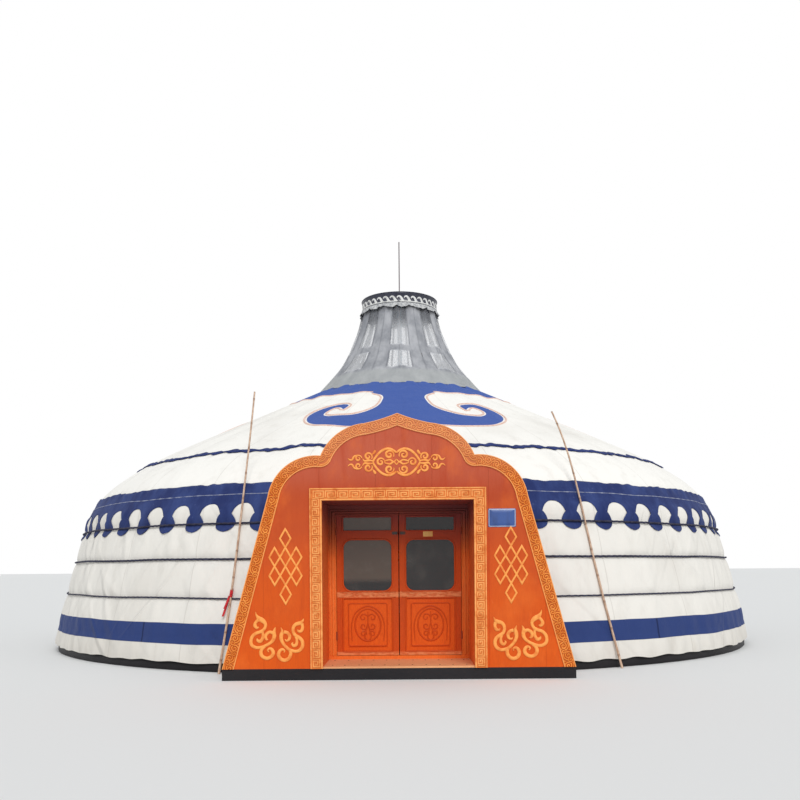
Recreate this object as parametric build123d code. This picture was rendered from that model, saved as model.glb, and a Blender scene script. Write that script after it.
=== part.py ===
from build123d import *
import os
from math import atan2, cos, floor, hypot, pi, radians, sin, tan

os.makedirs("parts", exist_ok=True)

# A felt yurt with a carved entrance board, in millimetres.
# The origin is on the ground on the axis of the yurt, +Z is up and the door faces -Y.
# Ridges and gores are counted round the axis, from the door's side towards +X.

# Plan of the round: the cover lies flat from one ridge to the next, with a pole under each panel
GORES = 34
LOBES = 68
CROSSINGS = 68
CROWN_RIBS = 17
CAP_SIDES = 34

# Outline of the cover: what stands inside the foot, heights, and how far the curves leave their chords
FOOT_RADIUS = 5632
BASE_HEIGHT = 125
GIRTH_INSET = 165
GIRTH_HEIGHT = 900
EAVE_INSET = 475
EAVE_HEIGHT = 2020
SHOULDER_RUN = 1287
SHOULDER_BULGE = 146
HAUNCH_HEIGHT = 3040
NECK_RADIUS = 1472
NECK_HEIGHT = 4174
CAP_FOOT_RADIUS = 600
CROWN_HEIGHT = 1516
CROWN_HOLLOW = 129
SHOULDER_SIDES = 3
CROWN_SIDES = 4

# Cover, base and floor
COVER_THICKNESS = 25
BASE_WIDTH = 150
DECK_STEP = 20
DECK_BOARD = 40
JOIST_WIDTH = 70
JOIST_SPACING = 1200
JOIST_END_GAP = 60

# Lattice wall and roof poles
LATTICE_THICKNESS = 20
LATTICE_BAR = 42
LATTICE_ROWS = 4
LATTICE_HEAD_GAP = 70
POLE_WIDTH = 40
POLE_DEPTH = 52
SEAT = 0.3

# Crown
RING_INSET = 32
RING_WIDTH = 100
RING_HEIGHT = 120
RING_DROP = 29
CROWN_SKIN = 6
RIB_WIDTH = 30
RIB_DEPTH = 45
HOOP_WIDTH = 26
HOOP_DEPTH = 45
LOWER_HOOP_RISE = 211
MIDDLE_HOOP_RISE = 711
CROSS_BEAM_WIDTH = 60
CROSS_BEAM_DEPTH = 80
MAST_RADIUS = 38
CAP_OVERHANG = 50
CAP_WIDTH = 110
CAP_HEIGHT = 160
CAP_SKIRT_DROP = 95
CAP_SKIRT_LAP = 35
CAP_SKIRT_THICKNESS = 6
LID_THICKNESS = 12
LID_RISE = 45
LID_FLAT_RADIUS = 34
FINIAL_RADIUS = 9
FINIAL_LENGTH = 1040
FINIAL_SOCKET_RADIUS = 24
FINIAL_SOCKET_HEIGHT = 60

# Band and valance of the roof cover, and girth ropes
VALANCE_TOP = 2280
VALANCE_FOOT = 1664
VALANCE_THICKNESS = 8
HOLE_TOP = 2016
HOLE_SHOULDER = 1905
HOLE_WAIST = 1775
HOLE_WIDTH = 250
HOLE_WAIST_WIDTH = 90
HOLE_HAUNCH_WIDTH = 180
HOLE_HAUNCH_DROP = 33
LOBE_CORNER = 110
VALANCE_CLEAR_LOBES = 2
ROPE_SIZE = 18
ROPE_HEIGHTS = (862, 1332, 1767)

# Entrance board
BOARD_STAND_OFF = 368
BOARD_THICKNESS = 40
BOARD_APEX = 2882
BOARD_FOOT_HALF = 1915
APEX_FLANK = (360, 2774)
APEX_FLANK_DIP = 10
CROWN_LOBE_MIDDLE = (665, 2652)
NOTCH = (834, 2428)
SHOULDER_LOBE_MIDDLE = (1205, 2322)
HIP = (1407, 1990)
BORDER_WIDTH = 128
BORDER_THICKNESS = 16
PORCH_SIDE = 60

# Doorway and its frame
DOORWAY_HALF = 820
CHEEK = 40
LINTEL = 80
TRIM_WIDTH = 135
TRIM_THICKNESS = 22
FRAME_SETBACK = 780
FRAME_DEPTH = 100
PASSAGE_INSET = 157
JAMB_WIDTH = 88
HEAD_DEPTH = 90
THRESHOLD_HEIGHT = 40
STUD_WIDTH = 70
STUD_DEPTH = 55
TIE_SIZE = 60
TIE_PLACE = 620

# Door leaves
LEAF_THICKNESS = 40
LEAF_SIDE_GAP = 5
LEAF_FOOT_GAP = 5
LEAF_HEAD_GAP = 5
LEAF_MEETING_GAP = 10
STILE = 82
TOP_RAIL = 45
TRANSOM_HEIGHT = 150
LOCK_RAIL = 115
WINDOW_HEIGHT = 590
WINDOW_CORNER = 95
MIDDLE_RAIL = 95
BOTTOM_RAIL = 55
GLASS_THICKNESS = 6
PANEL_THICKNESS = 18
PANEL_FIELD_THICKNESS = 8
PANEL_FIELD_MARGIN = 45
STAPLE_DROP = 35
STAPLE_PLATE = (64, 3, 34)
STAPLE_EYE = 11
STAPLE_BORE = 5
STAPLE_THICKNESS = 5
STAPLE_EDGE = 14
FORGED_SIDES = 8
KNUCKLE_RADIUS = 9
KNUCKLE_LENGTH = 45
HINGE_PLATE = 2
HINGE_PLATE_WIDTH = 30
HINGE_PIN_RADIUS = 4
HINGE_CLEARANCE = 0.3
HINGE_HEIGHTS = (420, 1640)

# Leaning poles: the azimuths, in degrees, of foot and seat, and the height of the top
LEANING_POLE_RADIUS = 15
LEAN_FOOT_OUT = 128
LEAN = (
    {"foot": -21.2, "seat": -21.4, "top": 3400},
    {"foot": 27.3, "seat": 24.9, "top": 3170},
)

GORE_ANGLE = 2 * pi / GORES
CROSSING_ANGLE = 2 * pi / CROSSINGS

# Places that follow from the sizes
GIRTH_RADIUS = FOOT_RADIUS - GIRTH_INSET
EAVE_RADIUS = FOOT_RADIUS - EAVE_INSET
HAUNCH_RADIUS = EAVE_RADIUS - SHOULDER_RUN
CAP_FOOT_HEIGHT = NECK_HEIGHT + CROWN_HEIGHT
DECK_HEIGHT = BASE_HEIGHT + DECK_STEP
LATTICE_TOP = EAVE_HEIGHT - LATTICE_HEAD_GAP
RING_RADIUS = NECK_RADIUS - RING_INSET
RING_TOP = NECK_HEIGHT - RING_DROP
CAP_RADIUS = CAP_FOOT_RADIUS + CAP_OVERHANG
BOARD_FRONT = FOOT_RADIUS + BOARD_STAND_OFF
BOARD_BACK = BOARD_FRONT - BOARD_THICKNESS
FRAME_FRONT = BOARD_FRONT - FRAME_SETBACK
FRAME_BACK = FRAME_FRONT - FRAME_DEPTH
LEAF_BACK = FRAME_FRONT - LEAF_THICKNESS
PASSAGE_BACK = EAVE_RADIUS - PASSAGE_INSET
PORTAL_HALF = DOORWAY_HALF + CHEEK
PORTAL_TOP = EAVE_HEIGHT
DOORWAY_TOP = PORTAL_TOP - LINTEL
TIE_HEIGHT = VALANCE_TOP + TIE_SIZE
LEAN_FOOT_RADIUS = FOOT_RADIUS + LEAN_FOOT_OUT


# Geometry helpers


def curved(start, end, hollow, sides):
    """Points of a circular arc, from start to end, that leaves its chord by a distance towards the axis."""
    length = hypot(end[0] - start[0], end[1] - start[1])
    side = inward(start, end)
    half_turn = 2 * atan2(2 * hollow, length)
    points = []
    for i in range(sides + 1):
        angle = half_turn * (2 * i / sides - 1)
        along = length / 2 * (1 + sin(angle) / sin(half_turn))
        away = length / 2 * (cos(angle) - cos(half_turn)) / sin(half_turn)
        x = start[0] + (end[0] - start[0]) * along / length + side[0] * away
        z = start[1] + (end[1] - start[1]) * along / length + side[1] * away
        points.append((x, z))
    return points


def inset(line, distance):
    """The outline moved inwards, towards the axis, by the same distance everywhere."""
    moved = []
    for i, (r, z) in enumerate(line):
        before = line[max(i - 1, 0)]
        after = line[min(i + 1, len(line) - 1)]
        if i == 0:
            before = (2 * r - after[0], 2 * z - after[1])
        if i == len(line) - 1:
            after = (2 * r - before[0], 2 * z - before[1])
        n1 = inward(before, (r, z))
        n2 = inward((r, z), after)
        share = distance / (1 + n1[0] * n2[0] + n1[1] * n2[1])
        moved.append((r + share * (n1[0] + n2[0]), z + share * (n1[1] + n2[1])))
    return moved


def inward(a, b):
    """The unit normal of a stretch of outline, on the side of the axis."""
    length = hypot(b[0] - a[0], b[1] - a[1])
    return (-(b[1] - a[1]) / length, (b[0] - a[0]) / length)


def radius_at(line, height):
    """The radius of an outline at a height."""
    for (r1, z1), (r2, z2) in zip(line, line[1:]):
        if z1 <= height <= z2:
            return r1 + (r2 - r1) * (height - z1) / (z2 - z1)
    raise ValueError("the outline does not reach this height")


def stretch(line, low, high):
    """The part of an outline between two heights."""
    inside = [p for p in line if low < p[1] < high]
    return [(radius_at(line, low), low)] + inside + [(radius_at(line, high), high)]


def extended(line):
    """The outline run on straight past both its ends."""
    (r0, z0), (r1, z1) = line[0], line[1]
    (r2, z2), (r3, z3) = line[-2], line[-1]
    return [(2 * r0 - r1, 2 * z0 - z1)] + line + [(2 * r3 - r2, 2 * z3 - z2)]


def shell_section(line, outer, inner, low, high):
    """The section between two insets of an outline, cut level at both heights."""
    long = extended(line)
    return stretch(inset(long, outer), low, high) + stretch(inset(long, inner), low, high)[::-1]


def ring_point(index, radius, height, sides):
    angle = 2 * pi * index / sides
    return Vector(radius * sin(angle), -radius * cos(angle), height)


def closed_solid(faces):
    """The solid inside a closed set of flat faces."""
    solid = Solid(Shell(faces))
    if solid.volume < 0:
        solid = Solid(Shell([-f for f in faces]))
    return solid


def panelled_ring(section, first=0, last=GORES, sides=GORES):
    """A ring of flat panels: the section, as radius and height, stands at each ridge."""
    whole = last - first == sides
    faces = []
    count = len(section)
    for i in range(first, last):
        for j in range(count):
            (r1, z1), (r2, z2) = section[j], section[(j + 1) % count]
            corners = [
                ring_point(i, r1, z1, sides),
                ring_point(i + 1, r1, z1, sides),
                ring_point(i + 1, r2, z2, sides),
                ring_point(i, r2, z2, sides),
            ]
            faces.append(Face(Wire.make_polygon(corners)))
    if not whole:
        for i in (first, last):
            faces.append(Face(Wire.make_polygon([ring_point(i, r, z, sides) for r, z in section])))
    return closed_solid(faces)


def slab(x, y, z):
    """A block from its lowest and highest x, y and z."""
    block = Box(x[1] - x[0], y[1] - y[0], z[1] - z[0])
    return Pos((x[0] + x[1]) / 2, (y[0] + y[1]) / 2, (z[0] + z[1]) / 2) * block


def turned(shape, index, sides=GORES):
    """The shape turned round the axis to a ridge."""
    return Rot(0, 0, 360 * index / sides) * shape


def at_panel_middle(section, sides=GORES):
    """The section of a panelled ring half-way between two ridges."""
    return [(r * cos(pi / sides), z) for r, z in section]


def radial_plate(section, width):
    """An upright plate that points at the axis from the front, its outline given as radius and height."""
    points = [Vector(0, -r, z) for r, z in section]
    return extrude(Face(Wire.make_polygon(points)), amount=width / 2, dir=(1, 0, 0), both=True)


def upright_plate(outline, back, front):
    """A plate in an upright plane facing the door's side, between two distances from the axis."""
    return extrude(Plane.XZ.offset(back) * outline, amount=front - back, dir=(0, -1, 0))


def ridge_ease(width, sides=GORES):
    """How far a piece of this width stands off a ridge to clear the flat panels beside it."""
    return width / 2 * tan(pi / sides) + SEAT


def mirrored(shape):
    return mirror(shape, about=Plane.YZ)


def save(name, *shapes):
    solids = [s for shape in shapes for s in shape.solids()]
    result = solids[0] if len(solids) == 1 else Compound(solids)
    export_step(result, f"parts/{name}.step")


# Outlines shared by the pieces
EAVE = (EAVE_RADIUS, EAVE_HEIGHT)
HAUNCH = (HAUNCH_RADIUS, HAUNCH_HEIGHT)
NECK = (NECK_RADIUS, NECK_HEIGHT)
SHOULDER = curved(EAVE, HAUNCH, -SHOULDER_BULGE, SHOULDER_SIDES)
CROWN_LINE = curved(NECK, (CAP_FOOT_RADIUS, CAP_FOOT_HEIGHT), CROWN_HOLLOW, CROWN_SIDES)
WALL_LINE = [(FOOT_RADIUS, BASE_HEIGHT), (GIRTH_RADIUS, GIRTH_HEIGHT), EAVE]
COVER_LINE = WALL_LINE + SHOULDER[1:] + [NECK]


def portal_space(clearance=0):
    """The box that the doorway's passage takes out of the wall."""
    half = PORTAL_HALF + clearance
    return slab((-half, half), (-FOOT_RADIUS - CHEEK, -PASSAGE_BACK), (-CHEEK, PORTAL_TOP + clearance))


# Base and floor


def base_ring(first, last):
    """One length of the low ring that the wall stands on."""
    inner = FOOT_RADIUS - BASE_WIDTH
    section = [(FOOT_RADIUS, 0), (FOOT_RADIUS, BASE_HEIGHT), (inner, BASE_HEIGHT), (inner, 0)]
    return panelled_ring(section, first, last) - portal_space()


def floor_deck():
    """The boarded floor, inside the base ring and level with the doorway's boards."""
    radius = FOOT_RADIUS - BASE_WIDTH
    low = DECK_HEIGHT - DECK_BOARD
    points = [ring_point(i, radius, low, GORES) for i in range(GORES)]
    disc = extrude(Face(Wire.make_polygon(points)), amount=DECK_BOARD, dir=(0, 0, 1))
    return disc - portal_space()


def floor_joists():
    """Joists that run from side to side under the floor."""
    radius = FOOT_RADIUS - BASE_WIDTH - JOIST_END_GAP
    count = floor(radius / JOIST_SPACING)
    height = DECK_HEIGHT - DECK_BOARD
    joists = []
    for i in range(-count, count + 1):
        y = i * JOIST_SPACING
        reach = (radius**2 - (abs(y) + JOIST_WIDTH / 2) ** 2) ** 0.5
        if y < -PASSAGE_BACK + JOIST_WIDTH:
            continue
        joists.append(slab((-reach, reach), (y - JOIST_WIDTH / 2, y + JOIST_WIDTH / 2), (0, height)))
    return joists


def porch_base():
    """The low plinth under the entrance board and its passage."""
    foot = slab((-BOARD_FOOT_HALF, BOARD_FOOT_HALF), (-BOARD_FRONT, -BOARD_BACK), (0, BASE_HEIGHT))
    bed = slab((-PORTAL_HALF, PORTAL_HALF), (-BOARD_BACK, -PASSAGE_BACK), (0, DECK_HEIGHT - DECK_BOARD))
    behind = (-BOARD_BACK, -BOARD_BACK + STUD_DEPTH)
    right_end = slab((BOARD_FOOT_HALF - PORCH_SIDE, BOARD_FOOT_HALF), behind, (0, BASE_HEIGHT))
    return foot + bed + right_end + mirrored(right_end)


def porch_floor():
    """Floor boards of the passage, from the board's face back to the room."""
    high = DECK_HEIGHT
    inner = slab((-DOORWAY_HALF, DOORWAY_HALF), (-BOARD_BACK, -PASSAGE_BACK), (high - DECK_BOARD, high))
    sill = slab((-DOORWAY_HALF, DOORWAY_HALF), (-BOARD_FRONT, -BOARD_BACK), (BASE_HEIGHT, high))
    return inner + sill


# Walls and roof


def cover(first, last, low, high):
    """A length of the cover between two heights, left out where the passage goes through."""
    section = shell_section(COVER_LINE, 0, COVER_THICKNESS, low, high)
    return panelled_ring(section, first, last) - portal_space()


def lattice_gap(index, middle, rise):
    """The diamond between four bars, cut outwards through the lattice."""
    half = radius_at(WALL_LINE, max(middle, BASE_HEIGHT)) * tan(CROSSING_ANGLE)
    slope = hypot(half, rise)
    w = half - LATTICE_BAR / 2 * slope / rise
    h = rise - LATTICE_BAR / 2 * slope / half
    outline = Polygon((-w, middle), (0, middle + h), (w, middle), (0, middle - h), align=None)
    return turned(upright_plate(outline, HAUNCH_RADIUS, FOOT_RADIUS + LATTICE_BAR), index, CROSSINGS)


def lattice(first, last):
    """One section of the trellis wall."""
    inner = COVER_THICKNESS + LATTICE_THICKNESS
    section = shell_section(WALL_LINE, COVER_THICKNESS, inner, BASE_HEIGHT, LATTICE_TOP)
    skin = panelled_ring(section, first, last)
    rise = (LATTICE_TOP - BASE_HEIGHT) / LATTICE_ROWS
    per_gore = CROSSINGS // GORES
    gaps = [
        lattice_gap(index, BASE_HEIGHT + level * rise, rise)
        for index in range(first * per_gore, last * per_gore + 1)
        for level in range(LATTICE_ROWS + 1)
        if (index + level) % 2 == 0
    ]
    return skin - gaps - portal_space()


def roof_pole(index):
    """One roof pole under the middle of a gore: bent over the shoulder, straight to the crown ring."""
    outer = COVER_THICKNESS + SEAT
    section = shell_section(COVER_LINE, outer, outer + POLE_DEPTH, LATTICE_TOP + SEAT, NECK_HEIGHT)
    plate = radial_plate(at_panel_middle(section), POLE_WIDTH)
    ring_face = RING_RADIUS * cos(GORE_ANGLE / 2) + SEAT
    keep = slab((-POLE_WIDTH, POLE_WIDTH), (-FOOT_RADIUS, -ring_face), (0, NECK_HEIGHT))
    return turned(plate & keep, index + 0.5) - portal_space(SEAT)


# Crown


def crown_base_ring():
    inner = RING_RADIUS - RING_WIDTH
    low = RING_TOP - RING_HEIGHT
    return panelled_ring([(RING_RADIUS, low), (RING_RADIUS, RING_TOP), (inner, RING_TOP), (inner, low)])


def crown_rib():
    """One bent rib that stands on the crown ring, notched under the roof's edge, and carries the cap."""
    outer = CROWN_SKIN + ridge_ease(RIB_WIDTH, CAP_SIDES)
    section = shell_section(CROWN_LINE, outer, outer + RIB_DEPTH, RING_TOP, CAP_FOOT_HEIGHT)
    plate = radial_plate(section, RIB_WIDTH)
    under_roof = COVER_THICKNESS + ridge_ease(RIB_WIDTH)
    roof_edge = shell_section(COVER_LINE, 0, under_roof, HAUNCH_HEIGHT, NECK_HEIGHT)
    keep = slab((-RIB_WIDTH, RIB_WIDTH), (-RING_RADIUS, 0), (RING_TOP, CAP_FOOT_HEIGHT))
    return (plate & keep) - radial_plate(roof_edge, 2 * RIB_WIDTH)


def crown_cover():
    section = shell_section(CROWN_LINE, 0, CROWN_SKIN, NECK_HEIGHT, CAP_FOOT_HEIGHT)
    return panelled_ring(section, 0, CAP_SIDES, CAP_SIDES)


def crown_hoop(height):
    """A hoop inside the ribs, of short straight bars."""
    low, high = height - HOOP_DEPTH / 2, height + HOOP_DEPTH / 2
    rib_inside = CROWN_SKIN + ridge_ease(RIB_WIDTH, CAP_SIDES) + RIB_DEPTH
    outer = radius_at(inset(CROWN_LINE, rib_inside), high) - SEAT
    section = [(outer, low), (outer, high), (outer - HOOP_WIDTH, high), (outer - HOOP_WIDTH, low)]
    return panelled_ring(section, 0, CROWN_RIBS, CROWN_RIBS)


def crown_cross():
    """Two crossed beams in the crown ring that carry the mast."""
    inside = RING_RADIUS - RING_WIDTH
    to_ridge = inside - ridge_ease(CROSS_BEAM_WIDTH)
    to_panel = inside * cos(GORE_ANGLE / 2) - SEAT
    half = CROSS_BEAM_WIDTH / 2
    height = (RING_TOP - RING_HEIGHT, RING_TOP - RING_HEIGHT + CROSS_BEAM_DEPTH)
    across = slab((-to_panel, to_panel), (-half, half), height)
    return across + slab((-half, half), (-to_ridge, to_ridge), height)


def crown_mast():
    low = RING_TOP - RING_HEIGHT + CROSS_BEAM_DEPTH
    height = CAP_FOOT_HEIGHT + CAP_HEIGHT - low
    return Pos(0, 0, low) * Cylinder(MAST_RADIUS, height, align=(Align.CENTER, Align.CENTER, Align.MIN))


def cap_ring():
    inner = CAP_RADIUS - CAP_WIDTH
    high = CAP_FOOT_HEIGHT + CAP_HEIGHT
    section = [
        (CAP_RADIUS, CAP_FOOT_HEIGHT),
        (CAP_RADIUS, high),
        (inner, high),
        (inner, CAP_FOOT_HEIGHT),
    ]
    return panelled_ring(section, 0, CAP_SIDES, CAP_SIDES)


def cap_skirt():
    high = CAP_FOOT_HEIGHT + CAP_SKIRT_LAP
    low = CAP_FOOT_HEIGHT - CAP_SKIRT_DROP
    inner, outer = CAP_RADIUS, CAP_RADIUS + CAP_SKIRT_THICKNESS
    section = [(outer, low), (outer, high), (inner, high), (inner, low)]
    return panelled_ring(section, 0, CAP_SIDES, CAP_SIDES)


def cap_lid():
    """A low cone of sheet on the cap's ring."""
    low = CAP_FOOT_HEIGHT + CAP_HEIGHT
    section = [(CAP_RADIUS, low), (CAP_RADIUS, low + LID_THICKNESS), (LID_FLAT_RADIUS, low + LID_RISE)]
    rims = [[ring_point(i, r, z, CAP_SIDES) for i in range(CAP_SIDES)] for r, z in section]
    faces = [Face(Wire.make_polygon(rims[0])), Face(Wire.make_polygon(rims[-1]))]
    for lower, upper in zip(rims, rims[1:]):
        for i in range(CAP_SIDES):
            j = (i + 1) % CAP_SIDES
            faces.append(Face(Wire.make_polygon([lower[i], lower[j], upper[j], upper[i]])))
    return closed_solid(faces)


def finial():
    """The rod on top of the cap, in its socket."""
    low = CAP_FOOT_HEIGHT + CAP_HEIGHT + LID_RISE
    up = (Align.CENTER, Align.CENTER, Align.MIN)
    socket = Pos(0, 0, low) * Cylinder(FINIAL_SOCKET_RADIUS, FINIAL_SOCKET_HEIGHT, align=up)
    rod = Pos(0, 0, low) * Cylinder(FINIAL_RADIUS, FINIAL_LENGTH, align=up)
    return socket + rod


# Valance and ropes


def valance_hole(index):
    """The gap between two lobes: a pointed arch above, a narrow neck, then open below."""
    below = VALANCE_FOOT - VALANCE_THICKNESS
    right = [
        (HOLE_HAUNCH_WIDTH / 2, HOLE_TOP - HOLE_HAUNCH_DROP),
        (HOLE_WIDTH / 2, HOLE_SHOULDER),
        (HOLE_WAIST_WIDTH / 2, HOLE_WAIST),
        (LOBE_CORNER, below),
    ]
    left = [(-x, z) for x, z in reversed(right)]
    cutter = upright_plate(Polygon((0, HOLE_TOP), *right, *left, align=None), HAUNCH_RADIUS, FOOT_RADIUS)
    return turned(cutter, index, LOBES)


def valance(first, last):
    """One length of the hanging border of the roof cover, with none of its lobes behind the board."""
    section = shell_section(COVER_LINE, -VALANCE_THICKNESS, 0, VALANCE_FOOT, VALANCE_TOP)
    band = panelled_ring(section, first, last)
    holes = [valance_hole(i) for i in range(first * LOBES // GORES, last * LOBES // GORES + 1)]
    clear = FOOT_RADIUS * sin(VALANCE_CLEAR_LOBES * 2 * pi / LOBES)
    behind_board = slab((-clear, clear), (-FOOT_RADIUS, 0), (0, PORTAL_TOP))
    return band - holes - behind_board


def girth_rope(height, under):
    """A rope pulled tight round the cover, from one side of the doorway to the other."""
    half = ROPE_SIZE / 2
    section = shell_section(COVER_LINE, -under - ROPE_SIZE, -under, height - half, height + half)
    return panelled_ring(section) - portal_space()


# Entrance board


def board_outline():
    """Half of the board's outline, from the apex down to the foot, as a list of edges."""
    apex = (0, BOARD_APEX)
    dip = ((apex[0] + APEX_FLANK[0]) / 2, (apex[1] + APEX_FLANK[1]) / 2 - APEX_FLANK_DIP)
    return [
        ThreePointArc(apex, dip, APEX_FLANK),
        ThreePointArc(APEX_FLANK, CROWN_LOBE_MIDDLE, NOTCH),
        ThreePointArc(NOTCH, SHOULDER_LOBE_MIDDLE, HIP),
        Line(HIP, (BOARD_FOOT_HALF, BASE_HEIGHT)),
    ]


def board_face():
    """The whole board as a flat face, before the doorway is cut."""
    right = board_outline()
    foot = Line((BOARD_FOOT_HALF, BASE_HEIGHT), (0, BASE_HEIGHT))
    axis = Line((0, BASE_HEIGHT), (0, BOARD_APEX))
    half = make_face([*right, foot, axis])
    return half + mirror(half, about=Plane.YZ)


def framed_face(half, low, high):
    """An upright rectangle, centred on the door, between two heights."""
    return Pos(0, (low + high) / 2) * Rectangle(2 * half, high - low)


def doorway_face(extra=0):
    return framed_face(DOORWAY_HALF + extra, BASE_HEIGHT, DOORWAY_TOP + extra)


def board_part(x, z):
    """The stretch of the board inside a rectangle."""
    window = Pos((x[0] + x[1]) / 2, (z[0] + z[1]) / 2) * Rectangle(x[1] - x[0], z[1] - z[0])
    return upright_plate(board_face() & window, BOARD_BACK, BOARD_FRONT)


def board_border():
    """The carved moulding along the edge of the board."""
    inner = offset(board_face(), amount=-BORDER_WIDTH, kind=Kind.ARC)
    strip = board_face() - inner - Pos(0, BASE_HEIGHT) * inner_foot()
    return upright_plate(strip, BOARD_FRONT, BOARD_FRONT + BORDER_THICKNESS)


def inner_foot():
    """The part of the foot between the two ends of the moulding."""
    slope = (BOARD_FOOT_HALF - HIP[0]) / (HIP[1] - BASE_HEIGHT)
    half = BOARD_FOOT_HALF - BORDER_WIDTH * (1 + slope**2) ** 0.5
    rise = 2 * BORDER_WIDTH
    half_above = half - slope * rise
    return Polygon((-half, 0), (half, 0), (half_above, rise), (-half_above, rise), align=None)


def doorway_trim():
    """The flat moulding on the board round the doorway."""
    strip = doorway_face(TRIM_WIDTH) - doorway_face()
    return upright_plate(strip, BOARD_FRONT, BOARD_FRONT + TRIM_THICKNESS)


def board_framing():
    """Studs and a rail on the back of the board, and two ties from the rail to the roof."""
    depth = (-BOARD_BACK, -BOARD_BACK + STUD_DEPTH)
    pieces = []
    for side in (-1, 1):
        inner = side * (PORTAL_HALF + STUD_WIDTH / 2)
        outer = side * (HIP[0] - STUD_WIDTH)
        for x, top in ((inner, TIE_HEIGHT - TIE_SIZE / 2), (outer, HIP[1] - STUD_WIDTH)):
            pieces.append(slab((x - STUD_WIDTH / 2, x + STUD_WIDTH / 2), depth, (BASE_HEIGHT, top)))
        pieces.append(board_tie(side * TIE_PLACE))
    reach = PORTAL_HALF + STUD_WIDTH
    rail = slab((-reach, reach), depth, (TIE_HEIGHT - TIE_SIZE / 2, TIE_HEIGHT + TIE_SIZE / 2))
    return pieces + [rail]


def board_tie(x):
    """A level bar from the back of the board to the slope of the roof."""
    half = TIE_SIZE / 2
    front = -BOARD_BACK + STUD_DEPTH
    bar = slab((x - half, x + half), (front, -HAUNCH_RADIUS), (TIE_HEIGHT - half, TIE_HEIGHT + half))
    outside = (bar - roof_body()).solids()
    return min(outside, key=lambda piece: piece.center().Y)


def roof_body():
    """The front of the yurt as a filled body, as large as the cover and a seat's gap."""
    line = [(r + SEAT, z) for r, z in COVER_LINE]
    filled = [(SEAT, line[0][1])] + line + [(SEAT, line[-1][1])]
    return panelled_ring(filled, -GORES // 4, GORES // 4)


# Doorway passage and frame


def passage_cheek(side):
    inner, outer = side * DOORWAY_HALF, side * PORTAL_HALF
    low = DECK_HEIGHT - DECK_BOARD
    return slab((min(inner, outer), max(inner, outer)), (-BOARD_BACK, -PASSAGE_BACK), (low, DOORWAY_TOP))


def passage_lid():
    return slab((-PORTAL_HALF, PORTAL_HALF), (-BOARD_BACK, -PASSAGE_BACK), (DOORWAY_TOP, PORTAL_TOP))


def door_frame():
    """Jambs, head and threshold in one frame."""
    whole = framed_face(DOORWAY_HALF, DECK_HEIGHT, DOORWAY_TOP)
    light = framed_face(DOORWAY_HALF - JAMB_WIDTH, DECK_HEIGHT + THRESHOLD_HEIGHT, DOORWAY_TOP - HEAD_DEPTH)
    return upright_plate(whole - light, FRAME_BACK, FRAME_FRONT)


LEAF_LEFT = -(DOORWAY_HALF - JAMB_WIDTH - LEAF_SIDE_GAP)
LEAF_RIGHT = -LEAF_MEETING_GAP / 2
LEAF_LOW = DECK_HEIGHT + THRESHOLD_HEIGHT + LEAF_FOOT_GAP
LEAF_HIGH = DOORWAY_TOP - HEAD_DEPTH - LEAF_HEAD_GAP
LIGHT_X = (LEAF_LEFT + STILE, LEAF_RIGHT - STILE)
TRANSOM_Z = (LEAF_HIGH - TOP_RAIL - TRANSOM_HEIGHT, LEAF_HIGH - TOP_RAIL)
WINDOW_Z = (TRANSOM_Z[0] - LOCK_RAIL - WINDOW_HEIGHT, TRANSOM_Z[0] - LOCK_RAIL)
PANEL_Z = (LEAF_LOW + BOTTOM_RAIL, WINDOW_Z[0] - MIDDLE_RAIL)
STAPLE_HEIGHT = TRANSOM_Z[0] - STAPLE_DROP
HINGE_X = LEAF_LEFT - LEAF_SIDE_GAP / 2
HINGE_Y = -FRAME_FRONT - KNUCKLE_RADIUS


def light_face(z, corner, shrink=0):
    """A window opening of the left leaf, with rounded corners."""
    width, height = LIGHT_X[1] - LIGHT_X[0] - 2 * shrink, z[1] - z[0] - 2 * shrink
    shape = RectangleRounded(width, height, corner - shrink) if corner else Rectangle(width, height)
    return Pos(sum(LIGHT_X) / 2, sum(z) / 2) * shape


def leaf_frame():
    """Stiles and rails of the left leaf."""
    width, height = LEAF_RIGHT - LEAF_LEFT, LEAF_HIGH - LEAF_LOW
    outline = Pos((LEAF_LEFT + LEAF_RIGHT) / 2, (LEAF_LOW + LEAF_HIGH) / 2) * Rectangle(width, height)
    lights = [light_face(TRANSOM_Z, 0), light_face(WINDOW_Z, WINDOW_CORNER), light_face(PANEL_Z, 0)]
    return upright_plate(outline - lights, LEAF_BACK, FRAME_FRONT)


def leaf_glass():
    """The two panes of the left leaf, in the middle of its thickness."""
    middle = (LEAF_BACK + FRAME_FRONT) / 2
    back, front = middle - GLASS_THICKNESS / 2, middle + GLASS_THICKNESS / 2
    faces = [light_face(TRANSOM_Z, 0, SEAT), light_face(WINDOW_Z, WINDOW_CORNER, SEAT)]
    return [upright_plate(f, back, front) for f in faces]


def leaf_panel():
    """The lower panel with its raised field."""
    back = LEAF_BACK + (LEAF_THICKNESS - PANEL_THICKNESS) / 2
    panel = upright_plate(light_face(PANEL_Z, 0), back, back + PANEL_THICKNESS)
    field = upright_plate(
        light_face(PANEL_Z, 0, PANEL_FIELD_MARGIN),
        back + PANEL_THICKNESS,
        back + PANEL_THICKNESS + PANEL_FIELD_THICKNESS,
    )
    return panel + field


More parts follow.
